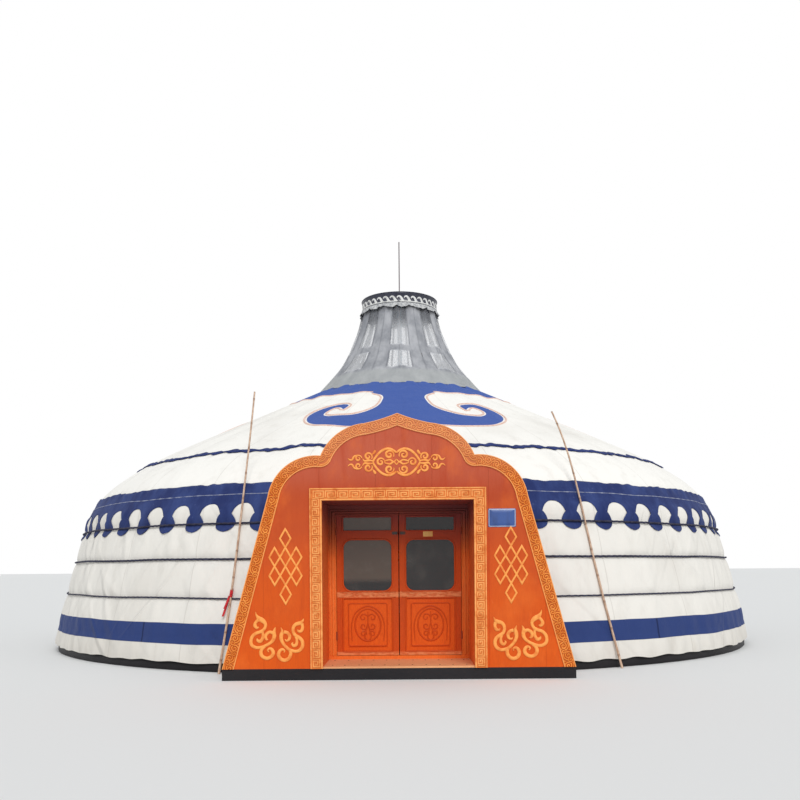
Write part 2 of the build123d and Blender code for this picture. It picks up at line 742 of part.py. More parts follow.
def leaf_staple():
    """A small plate with an upright eye on the left leaf, next to the meeting edge."""
    width, thickness, height = STAPLE_PLATE
    x = LEAF_RIGHT - STAPLE_EDGE
    plate = slab(
        (x + STAPLE_THICKNESS - width, x + STAPLE_THICKNESS),
        (-FRAME_FRONT - thickness, -FRAME_FRONT),
        (STAPLE_HEIGHT - height / 2, STAPLE_HEIGHT + height / 2),
    )
    outline = RegularPolygon(STAPLE_EYE, FORGED_SIDES) - RegularPolygon(STAPLE_BORE, FORGED_SIDES)
    place = Plane.YZ.offset(x) * Pos(-FRAME_FRONT - STAPLE_EYE, STAPLE_HEIGHT)
    return plate + extrude(place * outline, STAPLE_THICKNESS)


def hinge_plate(side, low, high):
    """The plate of a hinge in the gap beside the leaf: on the jamb for -1, on the leaf for 1."""
    face = HINGE_X + side * LEAF_SIDE_GAP / 2
    x = sorted((face, face - side * HINGE_PLATE))
    return slab(x, (HINGE_Y, -FRAME_FRONT + HINGE_PLATE_WIDTH), (low, high))


def hinge_bar(outline, low, high):
    """A bar of the given section on the hinge line."""
    return extrude(Pos(HINGE_X, HINGE_Y, low) * outline, high - low, dir=(0, 0, 1))


def knuckle(low, high):
    """An eight-sided knuckle, forged rather than turned."""
    return hinge_bar(RegularPolygon(KNUCKLE_RADIUS, FORGED_SIDES), low, high)


def fixed_hinge(z):
    """The lower half of a lift-off hinge: knuckle, pin and plate on the left jamb."""
    low, high = z - KNUCKLE_LENGTH, z
    pin = hinge_bar(Circle(HINGE_PIN_RADIUS), high, high + KNUCKLE_LENGTH)
    return knuckle(low, high) + pin + hinge_plate(-1, low, high)


def moving_hinge(z):
    """The upper half of a lift-off hinge: a bored knuckle and its plate on the left leaf."""
    low, high = z + HINGE_CLEARANCE, z + KNUCKLE_LENGTH
    bore = hinge_bar(Circle(HINGE_PIN_RADIUS + HINGE_CLEARANCE), low, high)
    return knuckle(low, high) + hinge_plate(1, low, high) - bore


# Leaning poles


def on_panel(radius, azimuth, height):
    """The point of a panelled ring at an azimuth in degrees, where the ridges have this radius."""
    angle = radians(azimuth)
    off_middle = angle % GORE_ANGLE - GORE_ANGLE / 2
    inside = radius * cos(GORE_ANGLE / 2) / cos(off_middle)
    return Vector(inside * sin(angle), -inside * cos(angle), height)


def leaning_pole(foot, seat, top):
    """A thin pole from the ground outside the wall, leaning on the upper rope."""
    height = ROPE_HEIGHTS[-1]
    slope = atan2(GIRTH_RADIUS - EAVE_RADIUS, EAVE_HEIGHT - GIRTH_HEIGHT)
    proud = VALANCE_THICKNESS + ROPE_SIZE + LEANING_POLE_RADIUS + SEAT
    start = on_panel(LEAN_FOOT_RADIUS, foot, 0)
    rest = on_panel(radius_at(COVER_LINE, height) + proud / cos(slope), seat, height)
    along = (rest - start).normalized()
    length = (rest - start).length * top / height
    overrun = 2 * LEANING_POLE_RADIUS
    plane = Plane(start - along * overrun, z_dir=along)
    pole = Solid.make_cylinder(LEANING_POLE_RADIUS, length + overrun, plane)
    reach = 2 * LEAN_FOOT_RADIUS
    return pole & slab((-reach, reach), (-reach, reach), (0, reach))


def main():
    half = GORES // 2
    quarter = GORES // 4
    halves = {"right": (0, half), "left": (half, GORES)}
    quarters = {
        "front_right": (0, quarter),
        "back_right": (quarter, half),
        "back_left": (half, GORES - quarter),
        "front_left": (GORES - quarter, GORES),
    }
    for name, run in halves.items():
        save(f"base_ring_{name}", base_ring(*run))
        save(f"lattice_{name}", lattice(*run))
        save(f"roof_cover_upper_{name}", cover(*run, HAUNCH_HEIGHT, NECK_HEIGHT))
        save(f"valance_{name}", valance(*run))
    for name, run in quarters.items():
        save(f"wall_cover_{name}", cover(*run, BASE_HEIGHT, EAVE_HEIGHT))
        save(f"roof_cover_lower_{name}", cover(*run, EAVE_HEIGHT, HAUNCH_HEIGHT))
    save("roof_poles", *[roof_pole(i) for i in range(GORES)])
    save("floor_deck", floor_deck())
    save("floor_joists", *floor_joists())
    save("porch_base", porch_base())
    save("porch_floor", porch_floor())

    save("crown_base_ring", crown_base_ring())
    save("crown_ribs", *[turned(crown_rib(), i, CROWN_RIBS) for i in range(CROWN_RIBS)])
    save("crown_hoops", crown_hoop(NECK_HEIGHT + LOWER_HOOP_RISE), crown_hoop(NECK_HEIGHT + MIDDLE_HOOP_RISE))
    save("crown_cover", crown_cover())
    save("crown_cross", crown_cross())
    save("crown_mast", crown_mast())
    save("cap_ring", cap_ring())
    save("cap_skirt", cap_skirt())
    save("cap_lid", cap_lid())
    save("finial", finial())

    ropes = []
    for height in ROPE_HEIGHTS:
        under = VALANCE_THICKNESS if height > VALANCE_FOOT else 0
        ropes.append(girth_rope(height, under))
    save("girth_ropes", *ropes)

    wide = 2 * BOARD_FOOT_HALF
    save("entry_board_left", board_part((-wide, -DOORWAY_HALF), (0, DOORWAY_TOP)))
    save("entry_board_right", board_part((DOORWAY_HALF, wide), (0, DOORWAY_TOP)))
    save("entry_board_top", board_part((-wide, wide), (DOORWAY_TOP, 2 * BOARD_APEX)))
    save("entry_board_border", board_border())
    save("doorway_trim", doorway_trim())
    save("board_framing", *board_framing())
    save("passage_cheeks", passage_cheek(-1), passage_cheek(1))
    save("passage_lid", passage_lid())
    save("door_frame", door_frame())

    left = {
        "leaf_frame": [leaf_frame()],
        "leaf_glass": leaf_glass(),
        "leaf_panel": [leaf_panel()],
        "leaf_staple": [leaf_staple()],
        "leaf_hinges": [moving_hinge(z) for z in HINGE_HEIGHTS],
    }
    for name, shapes in left.items():
        save(f"left_{name}", *shapes)
        save(f"right_{name}", *[mirrored(s) for s in shapes])
    jamb_hinges = [fixed_hinge(z) for z in HINGE_HEIGHTS]
    save("jamb_hinges", *jamb_hinges, *[mirrored(s) for s in jamb_hinges])
    save("leaning_poles", *[leaning_pole(**place) for place in LEAN])


main()
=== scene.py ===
"""Canvas, carving and finishes of a felt yurt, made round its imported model."""

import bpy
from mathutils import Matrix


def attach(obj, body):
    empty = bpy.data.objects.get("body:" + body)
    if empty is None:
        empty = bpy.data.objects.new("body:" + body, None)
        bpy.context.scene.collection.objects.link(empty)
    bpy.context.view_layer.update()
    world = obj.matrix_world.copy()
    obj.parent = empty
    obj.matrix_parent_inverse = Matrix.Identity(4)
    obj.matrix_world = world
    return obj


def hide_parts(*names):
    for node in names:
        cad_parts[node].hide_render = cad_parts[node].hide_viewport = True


bl_info = {
    "name": "Felt Yurt",
    "version": (1, 0, 0),
    "blender": (4, 5, 0),
    "location": "3D View > Sidebar > Yurt",
    "description": "Canvas, carving and finishes of a felt yurt",
    "category": "Object",
}

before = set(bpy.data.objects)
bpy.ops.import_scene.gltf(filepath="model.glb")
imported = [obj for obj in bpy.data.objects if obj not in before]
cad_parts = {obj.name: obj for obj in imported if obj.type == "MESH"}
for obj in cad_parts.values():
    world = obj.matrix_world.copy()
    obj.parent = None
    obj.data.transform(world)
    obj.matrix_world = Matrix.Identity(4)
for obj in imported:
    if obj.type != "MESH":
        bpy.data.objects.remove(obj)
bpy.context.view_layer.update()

from functools import cache, cached_property
from math import asin, cos, pi, radians, sin, tau

import bpy
import numpy as np
from bpy.props import FloatProperty, FloatVectorProperty, IntProperty, PointerProperty

SHELTER, LEFT, RIGHT = "shelter", "left_leaf", "right_leaf"
SIDES = {"right": 1, "left": -1}

# Outline of the canvas, as radius and height
OUTLINE = (
    (5.650, 0.000), (5.632, 0.125), (5.591, 0.436), (5.475, 0.866), (5.353, 1.328), (5.226, 1.769),
    (5.160, 2.000), (5.002, 2.273), (4.763, 2.515), (4.389, 2.767), (3.870, 3.040), (3.302, 3.309),
    (2.767, 3.562), (2.161, 3.848), (1.691, 4.070), (1.440, 4.189),
)
CROWN_OUTLINE = (
    (1.500, 4.150), (1.440, 4.189), (1.210, 4.457), (1.020, 4.688), (0.888, 4.909), (0.793, 5.129),
    (0.702, 5.360), (0.640, 5.600), (0.612, 5.690),
)
BASE_TOP, EAVE, ROOF_LAP, NECK = 0.125, 2.02, 2.765, 4.174
ROPES, ROPE_LAY = (0.862, 1.332, 1.767), 0.09
ROPE_GAPS, ROPE_RADII = (0.002, 0.002, 0.010), (0.010, 0.013, 0.0125)
POLES, LOBES = 34, 68
BAND_TOP, BAND_SEAM, HOLE_TOP, LOBE_FOOT = 2.272, 2.130, 2.016, 1.664
CROWN_FOOT, CROWN_TOP = 4.158, 5.692
CAP_LOW, CAP_HIGH, CAP_RADIUS, SKIRT_TOP = 5.690, 5.850, 0.650, 5.681
WALL_RADIUS = 5.4        # turns an angle round the wall into metres, for the finishes

# The entrance, and the fronts of its board, a door leaf and a leaf's panel
BORDER_WIDTH, BEAD = 0.128, 0.014
DOORWAY_HALF, DOORWAY_TOP = 0.820, 1.940
TRIM_WIDTH, TRIM_RISE = 0.135, 0.022
PORTAL_HALF = 0.860
BOARD_Y, LEAF_Y, PANEL_Y = -6.0, -5.22, -5.217

# The camera's shift in pixels of a square picture, its roll in degrees, and the floor's half-width
PHOTO_SIDE, PHOTO_SHIFT, PHOTO_ROLL = 800, (-6.6, 168.5), 0.45
FLOOR_REACH = 400.0


# Curves and grids


def smooth_curve(points, count):
    """Points of a Catmull-Rom spline: each span is the cubic through both its ends, parallel there to the
    line between the points on either side."""
    p = np.asarray(points, float)
    p = np.vstack([2 * p[0] - p[1], p, 2 * p[-1] - p[-2]])
    t = np.linspace(0, len(p) - 3, count)
    i = np.minimum(t.astype(int), len(p) - 4)
    f = (t - i)[:, None]
    a, b, c, d = p[i], p[i + 1], p[i + 2], p[i + 3]
    return 0.5 * (2 * b + (c - a) * f + (2 * a - 5 * b + 4 * c - d) * f**2 + (3 * b - a - 3 * c + d) * f**3)


CANVAS_LINE = smooth_curve(OUTLINE, 900)
CANVAS_SLOPE = np.gradient(CANVAS_LINE[:, 0], CANVAS_LINE[:, 1])
CROWN_LINE = smooth_curve(CROWN_OUTLINE, 400)


def canvas_radius(z):
    """The canvas's radius at a height."""
    return np.interp(z, CANVAS_LINE[:, 1], CANVAS_LINE[:, 0])


def roof_height(r):
    """The canvas's height at a radius, above the eave."""
    return np.interp(-r, -CANVAS_LINE[:, 0], CANVAS_LINE[:, 1])


def crown_radius(z):
    """The netting's radius at a height."""
    return np.interp(z, CROWN_LINE[:, 1], CROWN_LINE[:, 0])


def round_points(angle, r, z):
    """Points at an angle round the axis, from the door's side towards +X, a radius and a height."""
    return np.stack(np.broadcast_arrays(r * np.sin(angle), -r * np.cos(angle), z), -1)


def all_round(count):
    """Even angles all the way round, as a column."""
    return np.linspace(0, tau, count + 1)[:-1, None]


def on_side(angle, side):
    """Rising angles as they are for the right side, or mirrored for the left, and still rising."""
    return angle if side > 0 else -angle[::-1]


def ripples(angle, seed, waves, shortest, longest, z=0.0, climb=0.0):
    """A sum of sine waves of whole numbers of turns round the axis, with seeded phases and about 1 high.
    Each wave leans with height by up to climb radians a metre."""
    rng = np.random.default_rng(seed)
    total = 0.0
    turns, phases = rng.integers(shortest, longest + 1, waves), rng.uniform(0, tau, waves)
    for turn, phase, lean in zip(turns, phases, rng.uniform(-climb, climb, waves)):
        total = total + np.sin(turn * angle + phase + lean * z)
    return total / np.sqrt(waves)


def blend_step(low, high, x):
    """0 below low, 1 above high, and a smooth cubic step between."""
    t = np.clip((x - low) / (high - low), 0, 1)
    return t * t * (3 - 2 * t)


def spiral(x, z, start, end, first, turn, count=22):
    """A spiral about a centre: the radius goes evenly from start to end while the angle turns, in degrees."""
    t = np.linspace(0, 1, count)
    a = np.radians(first + turn * t)
    r = start + (end - start) * t
    return np.stack([x + r * np.cos(a), z + r * np.sin(a)], -1)


def rounded_box(x, z, corner, count=7):
    """A rectangle with round corners, as a closed path that turns from right to left."""
    quarter = np.linspace(0, pi / 2, count)
    parts = []
    for k, (cx, cz) in enumerate(((x[1], z[1]), (x[0], z[1]), (x[0], z[0]), (x[1], z[0]))):
        a = quarter + k * pi / 2
        mx, mz = cx - corner * np.sign(cx - sum(x) / 2), cz - corner * np.sign(cz - sum(z) / 2)
        parts.append(np.stack([mx + corner * np.cos(a), mz + corner * np.sin(a)], -1))
    return np.vstack(parts)


class Surface:
    """Grids of points gathered into one mesh."""

    def __init__(self):
        self.points, self.faces, self.values, self.count = [], [], {}, 0

    def grid(self, points, wrap_u=False, wrap_v=False, flip=False, capped=False, **values):
        """A grid of quads. With u the first index and v the second, a face looks along u cross v. A capped
        grid is closed by one face at each end of the direction that doesn't wrap."""
        nu, nv = points.shape[:2]
        index = np.arange(nu * nv).reshape(nu, nv) + self.count
        corners = (index, np.roll(index, -1, 0), np.roll(index, (-1, -1), (0, 1)), np.roll(index, -1, 1))
        quads = np.stack(corners, -1)[:nu if wrap_u else nu - 1, :nv if wrap_v else nv - 1].reshape(-1, 4)
        self.faces.extend((quads[:, ::-1] if flip else quads).tolist())
        if capped:
            ends = (index[0, ::-1], index[-1]) if wrap_v else (index[:, -1], index[::-1, 0])
            self.faces.extend((end[::-1] if flip else end).tolist() for end in ends)
        self.points.append(points.reshape(-1, 3))
        for name, value in values.items():
            self.values.setdefault(name, []).append(np.broadcast_to(value, (nu, nv)).ravel())
        self.count += nu * nv

    def piece(self, name, finish, body, replaces=(), merge=0.0, shell=0.0):
        """Makes the object: its mesh, its material, the body that it rides on and what it stands for."""
        mesh = bpy.data.meshes.new(name)
        mesh.from_pydata(np.vstack(self.points).tolist(), [], self.faces)
        for key, parts in self.values.items():
            values = np.hstack(parts).astype(np.float32)
            mesh.attributes.new(key, "FLOAT", "POINT").data.foreach_set("value", values)
        mesh.polygons.foreach_set("use_smooth", np.ones(len(mesh.polygons), bool))
        obj = bpy.data.objects.new(name, mesh)
        bpy.context.scene.collection.objects.link(obj)
        if merge:
            obj.modifiers.new("Weld", "WELD").merge_threshold = merge
        if shell:
            solid = obj.modifiers.new("Cloth", "SOLIDIFY")
            solid.thickness, solid.offset = shell, -1
        mesh.materials.append(finish)
        mesh.validate()
        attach(obj, body)
        if replaces:
            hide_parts(*replaces)
        return obj


def on_plane(y):
    """Sets a path's x, height and relief on an upright plane that faces the door's side."""
    return lambda x, z, out: np.stack(np.broadcast_arrays(x, y - out, z), -1)


# Half-width and relief of a carved band's section, closed behind
BAND = np.array([(-1, -0.25), (-1, 0.45), (-0.62, 0.95), (0, 1.0), (0.62, 0.95), (1, 0.45), (1, -0.25)])
FLAT_BAND = np.array([(-1, -0.25), (-1, 0.8), (-0.8, 1), (0.8, 1), (1, 0.8), (1, -0.25)])


def band(surface, path, width, relief, place, closed=False, section=BAND):
    """A raised band: a section is carried along a path in a plane, mitred where the path turns."""
    p = np.asarray(path, float)
    step = np.roll(p, -1, 0) - p
    if not closed:
        step[-1] = step[-2]
    step /= np.maximum(np.linalg.norm(step, axis=1, keepdims=True), 1e-9)
    before = np.roll(step, 1, 0)
    if not closed:
        before[0] = step[0]
    n1, n2 = before[:, ::-1] * (-1, 1), step[:, ::-1] * (-1, 1)
    mitre = (n1 + n2) / np.maximum(1 + (n1 * n2).sum(1, keepdims=True), 0.35)
    half = np.broadcast_to(np.asarray(width, float) / 2, (len(p),))
    flat = p[:, None, :] + mitre[:, None, :] * (half[:, None] * section[None, :, 0])[:, :, None]
    rise = relief * np.broadcast_to(section[None, :, 1], flat.shape[:2])
    surface.grid(place(flat[..., 0], flat[..., 1], rise), wrap_u=closed, wrap_v=True, capped=not closed)


def taper(count, start, middle, end, peak=0.4):
    """Widths along a stroke that swell from the start to the middle and die away to the end."""
    t = np.linspace(0, 1, count)
    return np.where(
        t < peak,
        start + (middle - start) * np.sin(t / peak * pi / 2),
        end + (middle - end) * np.cos((t - peak) / (1 - peak) * pi / 2),
    )


# Shader maths


def srgb(r, g, b):
    """A colour given in the usual 0 to 255 steps, as linear numbers."""
    def linear(v):
        v /= 255
        return v / 12.92 if v <= 0.04045 else ((v + 0.055) / 1.055) ** 2.4
    return (linear(r), linear(g), linear(b), 1.0)


class Value:
    """An output of a node that the usual signs work on: each adds a Math node."""

    def __init__(self, nodes, socket):
        self.nodes, self.socket = nodes, socket

    def math(self, operation, *values):
        """A Math node of these values, or of this one alone where none are given."""
        inputs = {f"i{k}": value for k, value in enumerate(values or (self,))}
        return self.nodes.node("Math", {"operation": operation}, **inputs)

    def __add__(self, other):
        return self.math("ADD", self, other)

    __radd__ = __add__

    def __sub__(self, other):
        return self.math("SUBTRACT", self, other)

    def __rsub__(self, other):
        return self.math("SUBTRACT", other, self)

    def __mul__(self, other):
        return self.math("MULTIPLY", self, other)

    __rmul__ = __mul__

    def __abs__(self):
        return self.math("ABSOLUTE")

    def wave(self):
        """The sine of this value, as 0 to 1."""
        return self.math("SINE") * 0.5 + 0.5

    def between(self, low, high):
        """0 below low and 1 above high, or the other way round, with a smooth step between."""
        a, b, start, end = (low, high, 0.0, 1.0) if low < high else (high, low, 1.0, 0.0)
        settings = {"interpolation_type": "SMOOTHSTEP"}
        return self.nodes.node("MapRange", settings, i0=self, i1=a, i2=b, i3=start, i4=end)


class Nodes:
    """A node tree under construction."""

    def __init__(self, tree):
        self.tree = tree

    def join(self, value, socket):
        """Links a value to a socket, or sets a plain number, colour or vector there."""
        if isinstance(value, Value):
            self.tree.links.new(value.socket, socket)
        else:
            socket.default_value = value

    def node(self, kind, settings=None, out=0, **inputs):
        """A node of a type, with its settings made first, then the values or links of its sockets, which go
        by name or by an i and a number."""
        node = self.tree.nodes.new("ShaderNode" + kind)
        for key, value in (settings or {}).items():
            setattr(node, key, value)
        for key, value in inputs.items():
            self.join(value, node.inputs[int(key[1:]) if key[1:].isdigit() else key])
        return Value(self, node.outputs[out])


class Finish(Nodes):
    """A material under construction, whose patterns lie on the object's own coordinates."""

    def __init__(self, name, roughness=0.8, metallic=0.0, specular=0.35, **constants):
        self.material = bpy.data.materials.new(name)
        self.material.use_nodes = True
        super().__init__(self.material.node_tree)
        self.made(Roughness=roughness, Metallic=metallic, Specular_IOR_Level=specular, **constants)

    def made(self, **sockets):
        """The material, with these sockets of its shader set or linked; underlines stand for spaces."""
        shader = self.tree.nodes["Principled BSDF"]
        for key, value in sockets.items():
            self.join(value, shader.inputs[key.replace("_", " ")])
        return self.material

    @cached_property
    def where(self):
        """The object's own coordinates."""
        return self.node("TexCoord", out=3)

    @cached_property
    def axes(self):
        """The x, y and z of the object's own coordinates."""
        outputs = self.node("SeparateXYZ", Vector=self.where).socket.node.outputs
        return [Value(self, output) for output in outputs]

    def azimuth(self):
        """The angle round the axis, from the door's side towards +X."""
        x, y = self.axes[:2]
        return x.math("ARCTAN2", x, 0.0 - y)

    def noise(self, scale, detail=3.0, rough=0.5, stretch=None, where=None):
        """Noise on the object's own coordinates, or on others, stretched first along each axis."""
        where = where or self.where
        if stretch:
            where = self.node("Mapping", Vector=where, Scale=stretch)
        return self.node("TexNoise", Vector=where, Scale=scale, Detail=detail, Roughness=rough)

    def weave(self, depth, strength, over=None, scale=900.0):
        """The fine ups and downs of plain woven cloth, as relief."""
        return self.bump(self.noise(scale, 1.0, stretch=(1.0, 1.0, 1.6)), depth, strength, over)

    def mix(self, factor, a, b):
        """One colour or another, by a factor."""
        return self.node("Mix", {"data_type": "RGBA"}, out=2, i0=factor, i6=a, i7=b)

    def attribute(self, name):
        return self.node("Attribute", {"attribute_name": name}, out=2)

    def bump(self, height, depth, strength=1.0, over=None):
        """Relief from a height of 0 to 1, that deep in metres."""
        below = {"Normal": over} if over else {}
        return self.node("Bump", Height=height, Distance=depth, Strength=strength, **below)


# Finishes, each made once


@cache
def canvas(kind):
    """White cotton canvas: the wall, the lower roof or the painted upper roof with its blue scrolls. It is
    uneven over metres and over a hand's width, soiled towards the ground, seamed, folded and creased, with a
    little painted shade along the creases."""
    cloth = bpy.context.scene.yurt_cloth
    f = Finish(f"canvas_{kind}", roughness=0.85, specular=0.15, Sheen_Weight=0.05)
    z, angle = f.axes[2], f.azimuth()
    clean = f.mix(z.between(1.9, 2.4), tuple(cloth.canvas), srgb(248, 245, 238))
    broad, close = f.noise(0.7), f.noise(5.0, 5.0, 0.6, (1.0, 1.0, 0.35))
    low = z.between(0.75, 0.1) * (0.25 + 0.75 * close)
    grime = close.between(0.50, 0.80) * 0.35 + broad.between(0.45, 0.75) * 0.35 + low * 0.6
    colour = f.mix(grime * 0.50, clean, srgb(172, 162, 148))
    seams = abs((angle * 13.0).math("SINE")).between(0.022, 0.006)
    colour = f.mix(seams * 0.25, colour, srgb(150, 142, 130))
    relief = f.bump(f.noise(3.2, 4.0, 0.55, (1.0, 1.0, 0.30)), 0.040, 0.60)
    calm = 0.35 + z.between(2.3, 1.9) * 0.65
    for climb, scale, depth in ((0.9, 0.9, 0.034), (-0.7, 1.7, 0.016)):
        flat = f.node("CombineXYZ", i0=angle * WALL_RADIUS + z * climb, i1=z * 0.40)
        creased = f.noise(0.7 * scale, 2.0, where=flat).between(0.44, 0.62)
        ridge = abs(f.noise(scale, 2.0, 0.45, where=flat) - 0.5).between(0.060, 0.0) * creased * calm
        relief = f.bump(ridge, depth, 0.6, relief)
        # A little painted shade darkens the canvas along each crease.
        colour = f.mix(ridge * 0.04, colour, srgb(150, 144, 136))
    if kind == "wall":
        stripe = z + (f.noise(0.9, 2.0) - 0.5) * 0.03
        inside = stripe.between(0.312, 0.318) * stripe.between(0.566, 0.560)
        blue = f.mix(close * 0.3, tuple(cloth.stripe), srgb(66, 82, 134))
        lap = abs(abs(angle) - 0.606).between(0.0028, 0.0016)
        colour = f.mix(inside, colour, f.mix(lap * 0.8, blue, srgb(20, 30, 66)))
        relief = f.bump(inside, 0.004, 1.0, relief)
    if kind == "upper":
        blue = f.mix(close * 0.3, tuple(cloth.scroll), srgb(84, 110, 178))
        colour = f.mix(f.attribute("horn").between(-0.004, 0.004), colour, blue)
    relief = f.bump(seams, 0.002, 0.5, relief)
    return f.made(Base_Color=colour, Normal=f.weave(0.0006, 0.35, relief))


@cache
def blue_cloth(shade):
    """Dyed cloth of the band, its lobes and the hems."""
    f = Finish(f"blue_cloth_{shade}", roughness=0.82, specular=0.12, Sheen_Weight=0.05)
    light = {"band": srgb(56, 72, 124), "hem": srgb(50, 64, 120)}[shade]
    close = f.noise(4.0, 5.0, 0.6, (1.0, 1.0, 0.4))
    colour = f.mix(close.between(0.35, 0.75), tuple(bpy.context.scene.yurt_cloth.band), light)
    colour = f.mix(f.noise(22.0).between(0.62, 0.80) * 0.25, colour, srgb(104, 116, 160))
    folds = f.bump(f.noise(7.0, stretch=(1.0, 1.0, 0.35)), 0.02, 0.5)
    return f.made(Base_Color=colour, Normal=f.weave(0.0006, 0.4, folds))


@cache
def plain_cloth(name, colour, light):
    """Thread, piping and strap."""
    f = Finish(name, roughness=0.8, specular=0.3, Sheen_Weight=0.15)
    colour = f.mix(f.noise(30.0).between(0.3, 0.7), colour, light)
    return f.made(Base_Color=colour, Normal=f.weave(0.001, 0.5, scale=500.0))


@cache
def rope_fibre(name, colour, light):
    """Twisted cord: the strands are in the mesh, the fibres are here."""
    f = Finish(name, roughness=0.75, specular=0.3)
    fibre = (f.azimuth() * (WALL_RADIUS * 900.0) + f.axes[2] * 1600.0).wave()
    colour = f.mix(f.noise(14.0, 4.0).between(0.3, 0.7), colour, light)
    return f.made(Base_Color=f.mix(fibre * 0.3, colour, srgb(20, 22, 34)), Normal=f.bump(fibre, 0.0012, 0.6))


@cache
def crown_netting():
    """Grey netting over the crown: see-through lights at every second rib, painted pale for the light that
    comes through them, and cloth sleeves between them. The cloth is darker in the hollows of its creases,
    which is painted shade, and darker under the cap, which is its painted shadow.
    """
    f = Finish("crown_netting", roughness=0.65, specular=0.15)
    z = f.axes[2]
    ribs = (f.azimuth() * (POLES / 4)).math("COSINE")
    creased = f.noise(4.5, 6.0, 0.62, (1.0, 1.0, 0.6))
    pane = ribs + (creased - 0.5) * 0.35
    high = z + (creased - 0.5) * 0.12
    lower_row = high.between(4.46, 4.51) * high.between(4.82, 4.77)
    rows = lower_row + high.between(4.90, 4.95) * high.between(5.66, 5.60)
    light = rows * pane.between(0.02, 0.20)
    lower = z.between(4.47, 4.40)
    # The sleeves are darker where the creases sink: painted shade.
    sleeve = f.mix(creased.between(0.3, 0.7), srgb(142, 144, 149), srgb(184, 185, 188))
    # The lights are painted pale for the light that comes through them, and greyer towards the top for the
    # painted shadow of the cap and its skirt.
    pale = f.mix(z.between(5.10, 5.50), srgb(244, 245, 247), srgb(150, 152, 157))
    colour = f.mix(light, sleeve, pale)
    # Below the lights the cloth is also darker where the creases sink: painted shade.
    colour = f.mix(lower * 0.85, colour, f.mix(creased, srgb(152, 155, 156), srgb(186, 188, 186)))
    edges = rows * pane.between(-0.20, 0.0) * pane.between(0.20, 0.05)
    seams = abs(ribs).between(0.990, 0.996) * (1.0 - lower) * (1.0 - light)
    colour = f.mix(edges * 0.5 + seams * 0.3, colour, srgb(104, 106, 112))
    holes = f.node("TexVoronoi", {"feature": "DISTANCE_TO_EDGE"}, Vector=f.where, Scale=95.0)
    return f.made(
        # A painted shadow under the cap's skirt darkens the netting towards the top.
        Base_Color=f.mix(z.between(5.50, 5.64) * 0.6, colour, srgb(92, 92, 96)),
        Alpha=0.97 - light * (0.70 - creased * 0.20) - (1.0 - lower) * 0.04,
        Normal=f.bump(holes.between(0.0, 0.08), 0.0015, 0.4, f.bump(creased, 0.03, 0.6)),
    )


def grain(f, colour, deep, upright):
    """Colour, pores and rings of timber whose grain stands up or lies across, and the relief of both."""
    along = (7.0, 7.0, 0.55) if upright else (0.55, 7.0, 7.0)
    lines = f.noise(5.0, 6.0, 0.6, along)
    rings = ((lines * 9.0 + f.noise(1.3, 2.0) * 4.0) * tau).wave()
    pores = f.noise(12.0, 2.0, stretch=tuple(6.0 * k for k in along))
    tone = f.mix(rings * 0.30 + f.noise(0.9).between(0.35, 0.7) * 0.35, colour, deep)
    tone = f.mix(pores.between(0.58, 0.72) * 0.30, tone, tuple(0.45 * c for c in deep[:3]) + (1.0,))
    return tone, pores, f.bump(pores, 0.0012, 0.35, f.bump(rings, 0.0015, 0.25))


@cache
def wood(name, colour, deep, upright, gloss):
    """Stained and varnished timber: grain that runs along its length, pores and worn patches."""
    f = Finish(name, roughness=0.45, specular=0.15, Coat_Weight=gloss, Coat_Roughness=0.35)
    tone, pores, relief = grain(f, colour, deep, upright)
    return f.made(Base_Color=tone, Roughness=0.40 + pores * 0.25, Normal=relief)


def base_timber():
    """Near-black timber at the foot of the wall and the porch."""
    return wood("base_timber", srgb(44, 42, 44), srgb(26, 25, 28), False, 0.0)


@cache
def doorway_wood_painted_light_and_shade(name, low, high, deep):
    """Red-brown timber of the doorway: bright orange near the ground and maroon under the lintel, which is
    painted shade where the passage is deep.
    """
    f = Finish(name, roughness=0.45, specular=0.15, Coat_Weight=0.04, Coat_Roughness=0.3)
    z = f.axes[2]
    tone, pores, relief = grain(f, low, deep, True)
    # Painted shade: the timber turns maroon towards the lintel, where the passage is deep and dark.
    tone = f.mix((z + (f.noise(1.4) - 0.5) * 0.35).between(1.30, 2.0), tone, high)
    worn = f.noise(18.0, 4.0, stretch=(1.0, 1.0, 0.4)).between(0.66, 0.78) * z.between(1.1, 0.2)
    tone = f.mix(worn * 0.35, tone, srgb(240, 150, 96))
    if name == "leaf_wood":
        # On the leaves, a lighter band along the lock rail and along the foot: a painted highlight on the
        # ledges, and wear.
        rail = z.between(0.862, 0.872) * z.between(0.934, 0.924)
        foot = z.between(0.16, 0.17) * z.between(0.24, 0.22)
        ledge_highlight_and_wear = f.noise(14.0, 4.0, stretch=(1.0, 1.0, 3.0)).between(0.40, 0.60)
        tone = f.mix((rail + foot) * (0.25 + ledge_highlight_and_wear * 0.35), tone, srgb(240, 166, 112))
    return f.made(Base_Color=tone, Roughness=0.38 + pores * 0.25 + worn * 0.1, Normal=relief)


def leaf_wood():
    """The timber of the door leaves, lighter on the rail and along the foot: a painted highlight on the
    ledges, and wear.
    """
    # The second colour is painted shade under the lintel.
    return doorway_wood_painted_light_and_shade("leaf_wood", srgb(210, 84, 24), srgb(128, 60, 60), srgb(170, 56, 16))


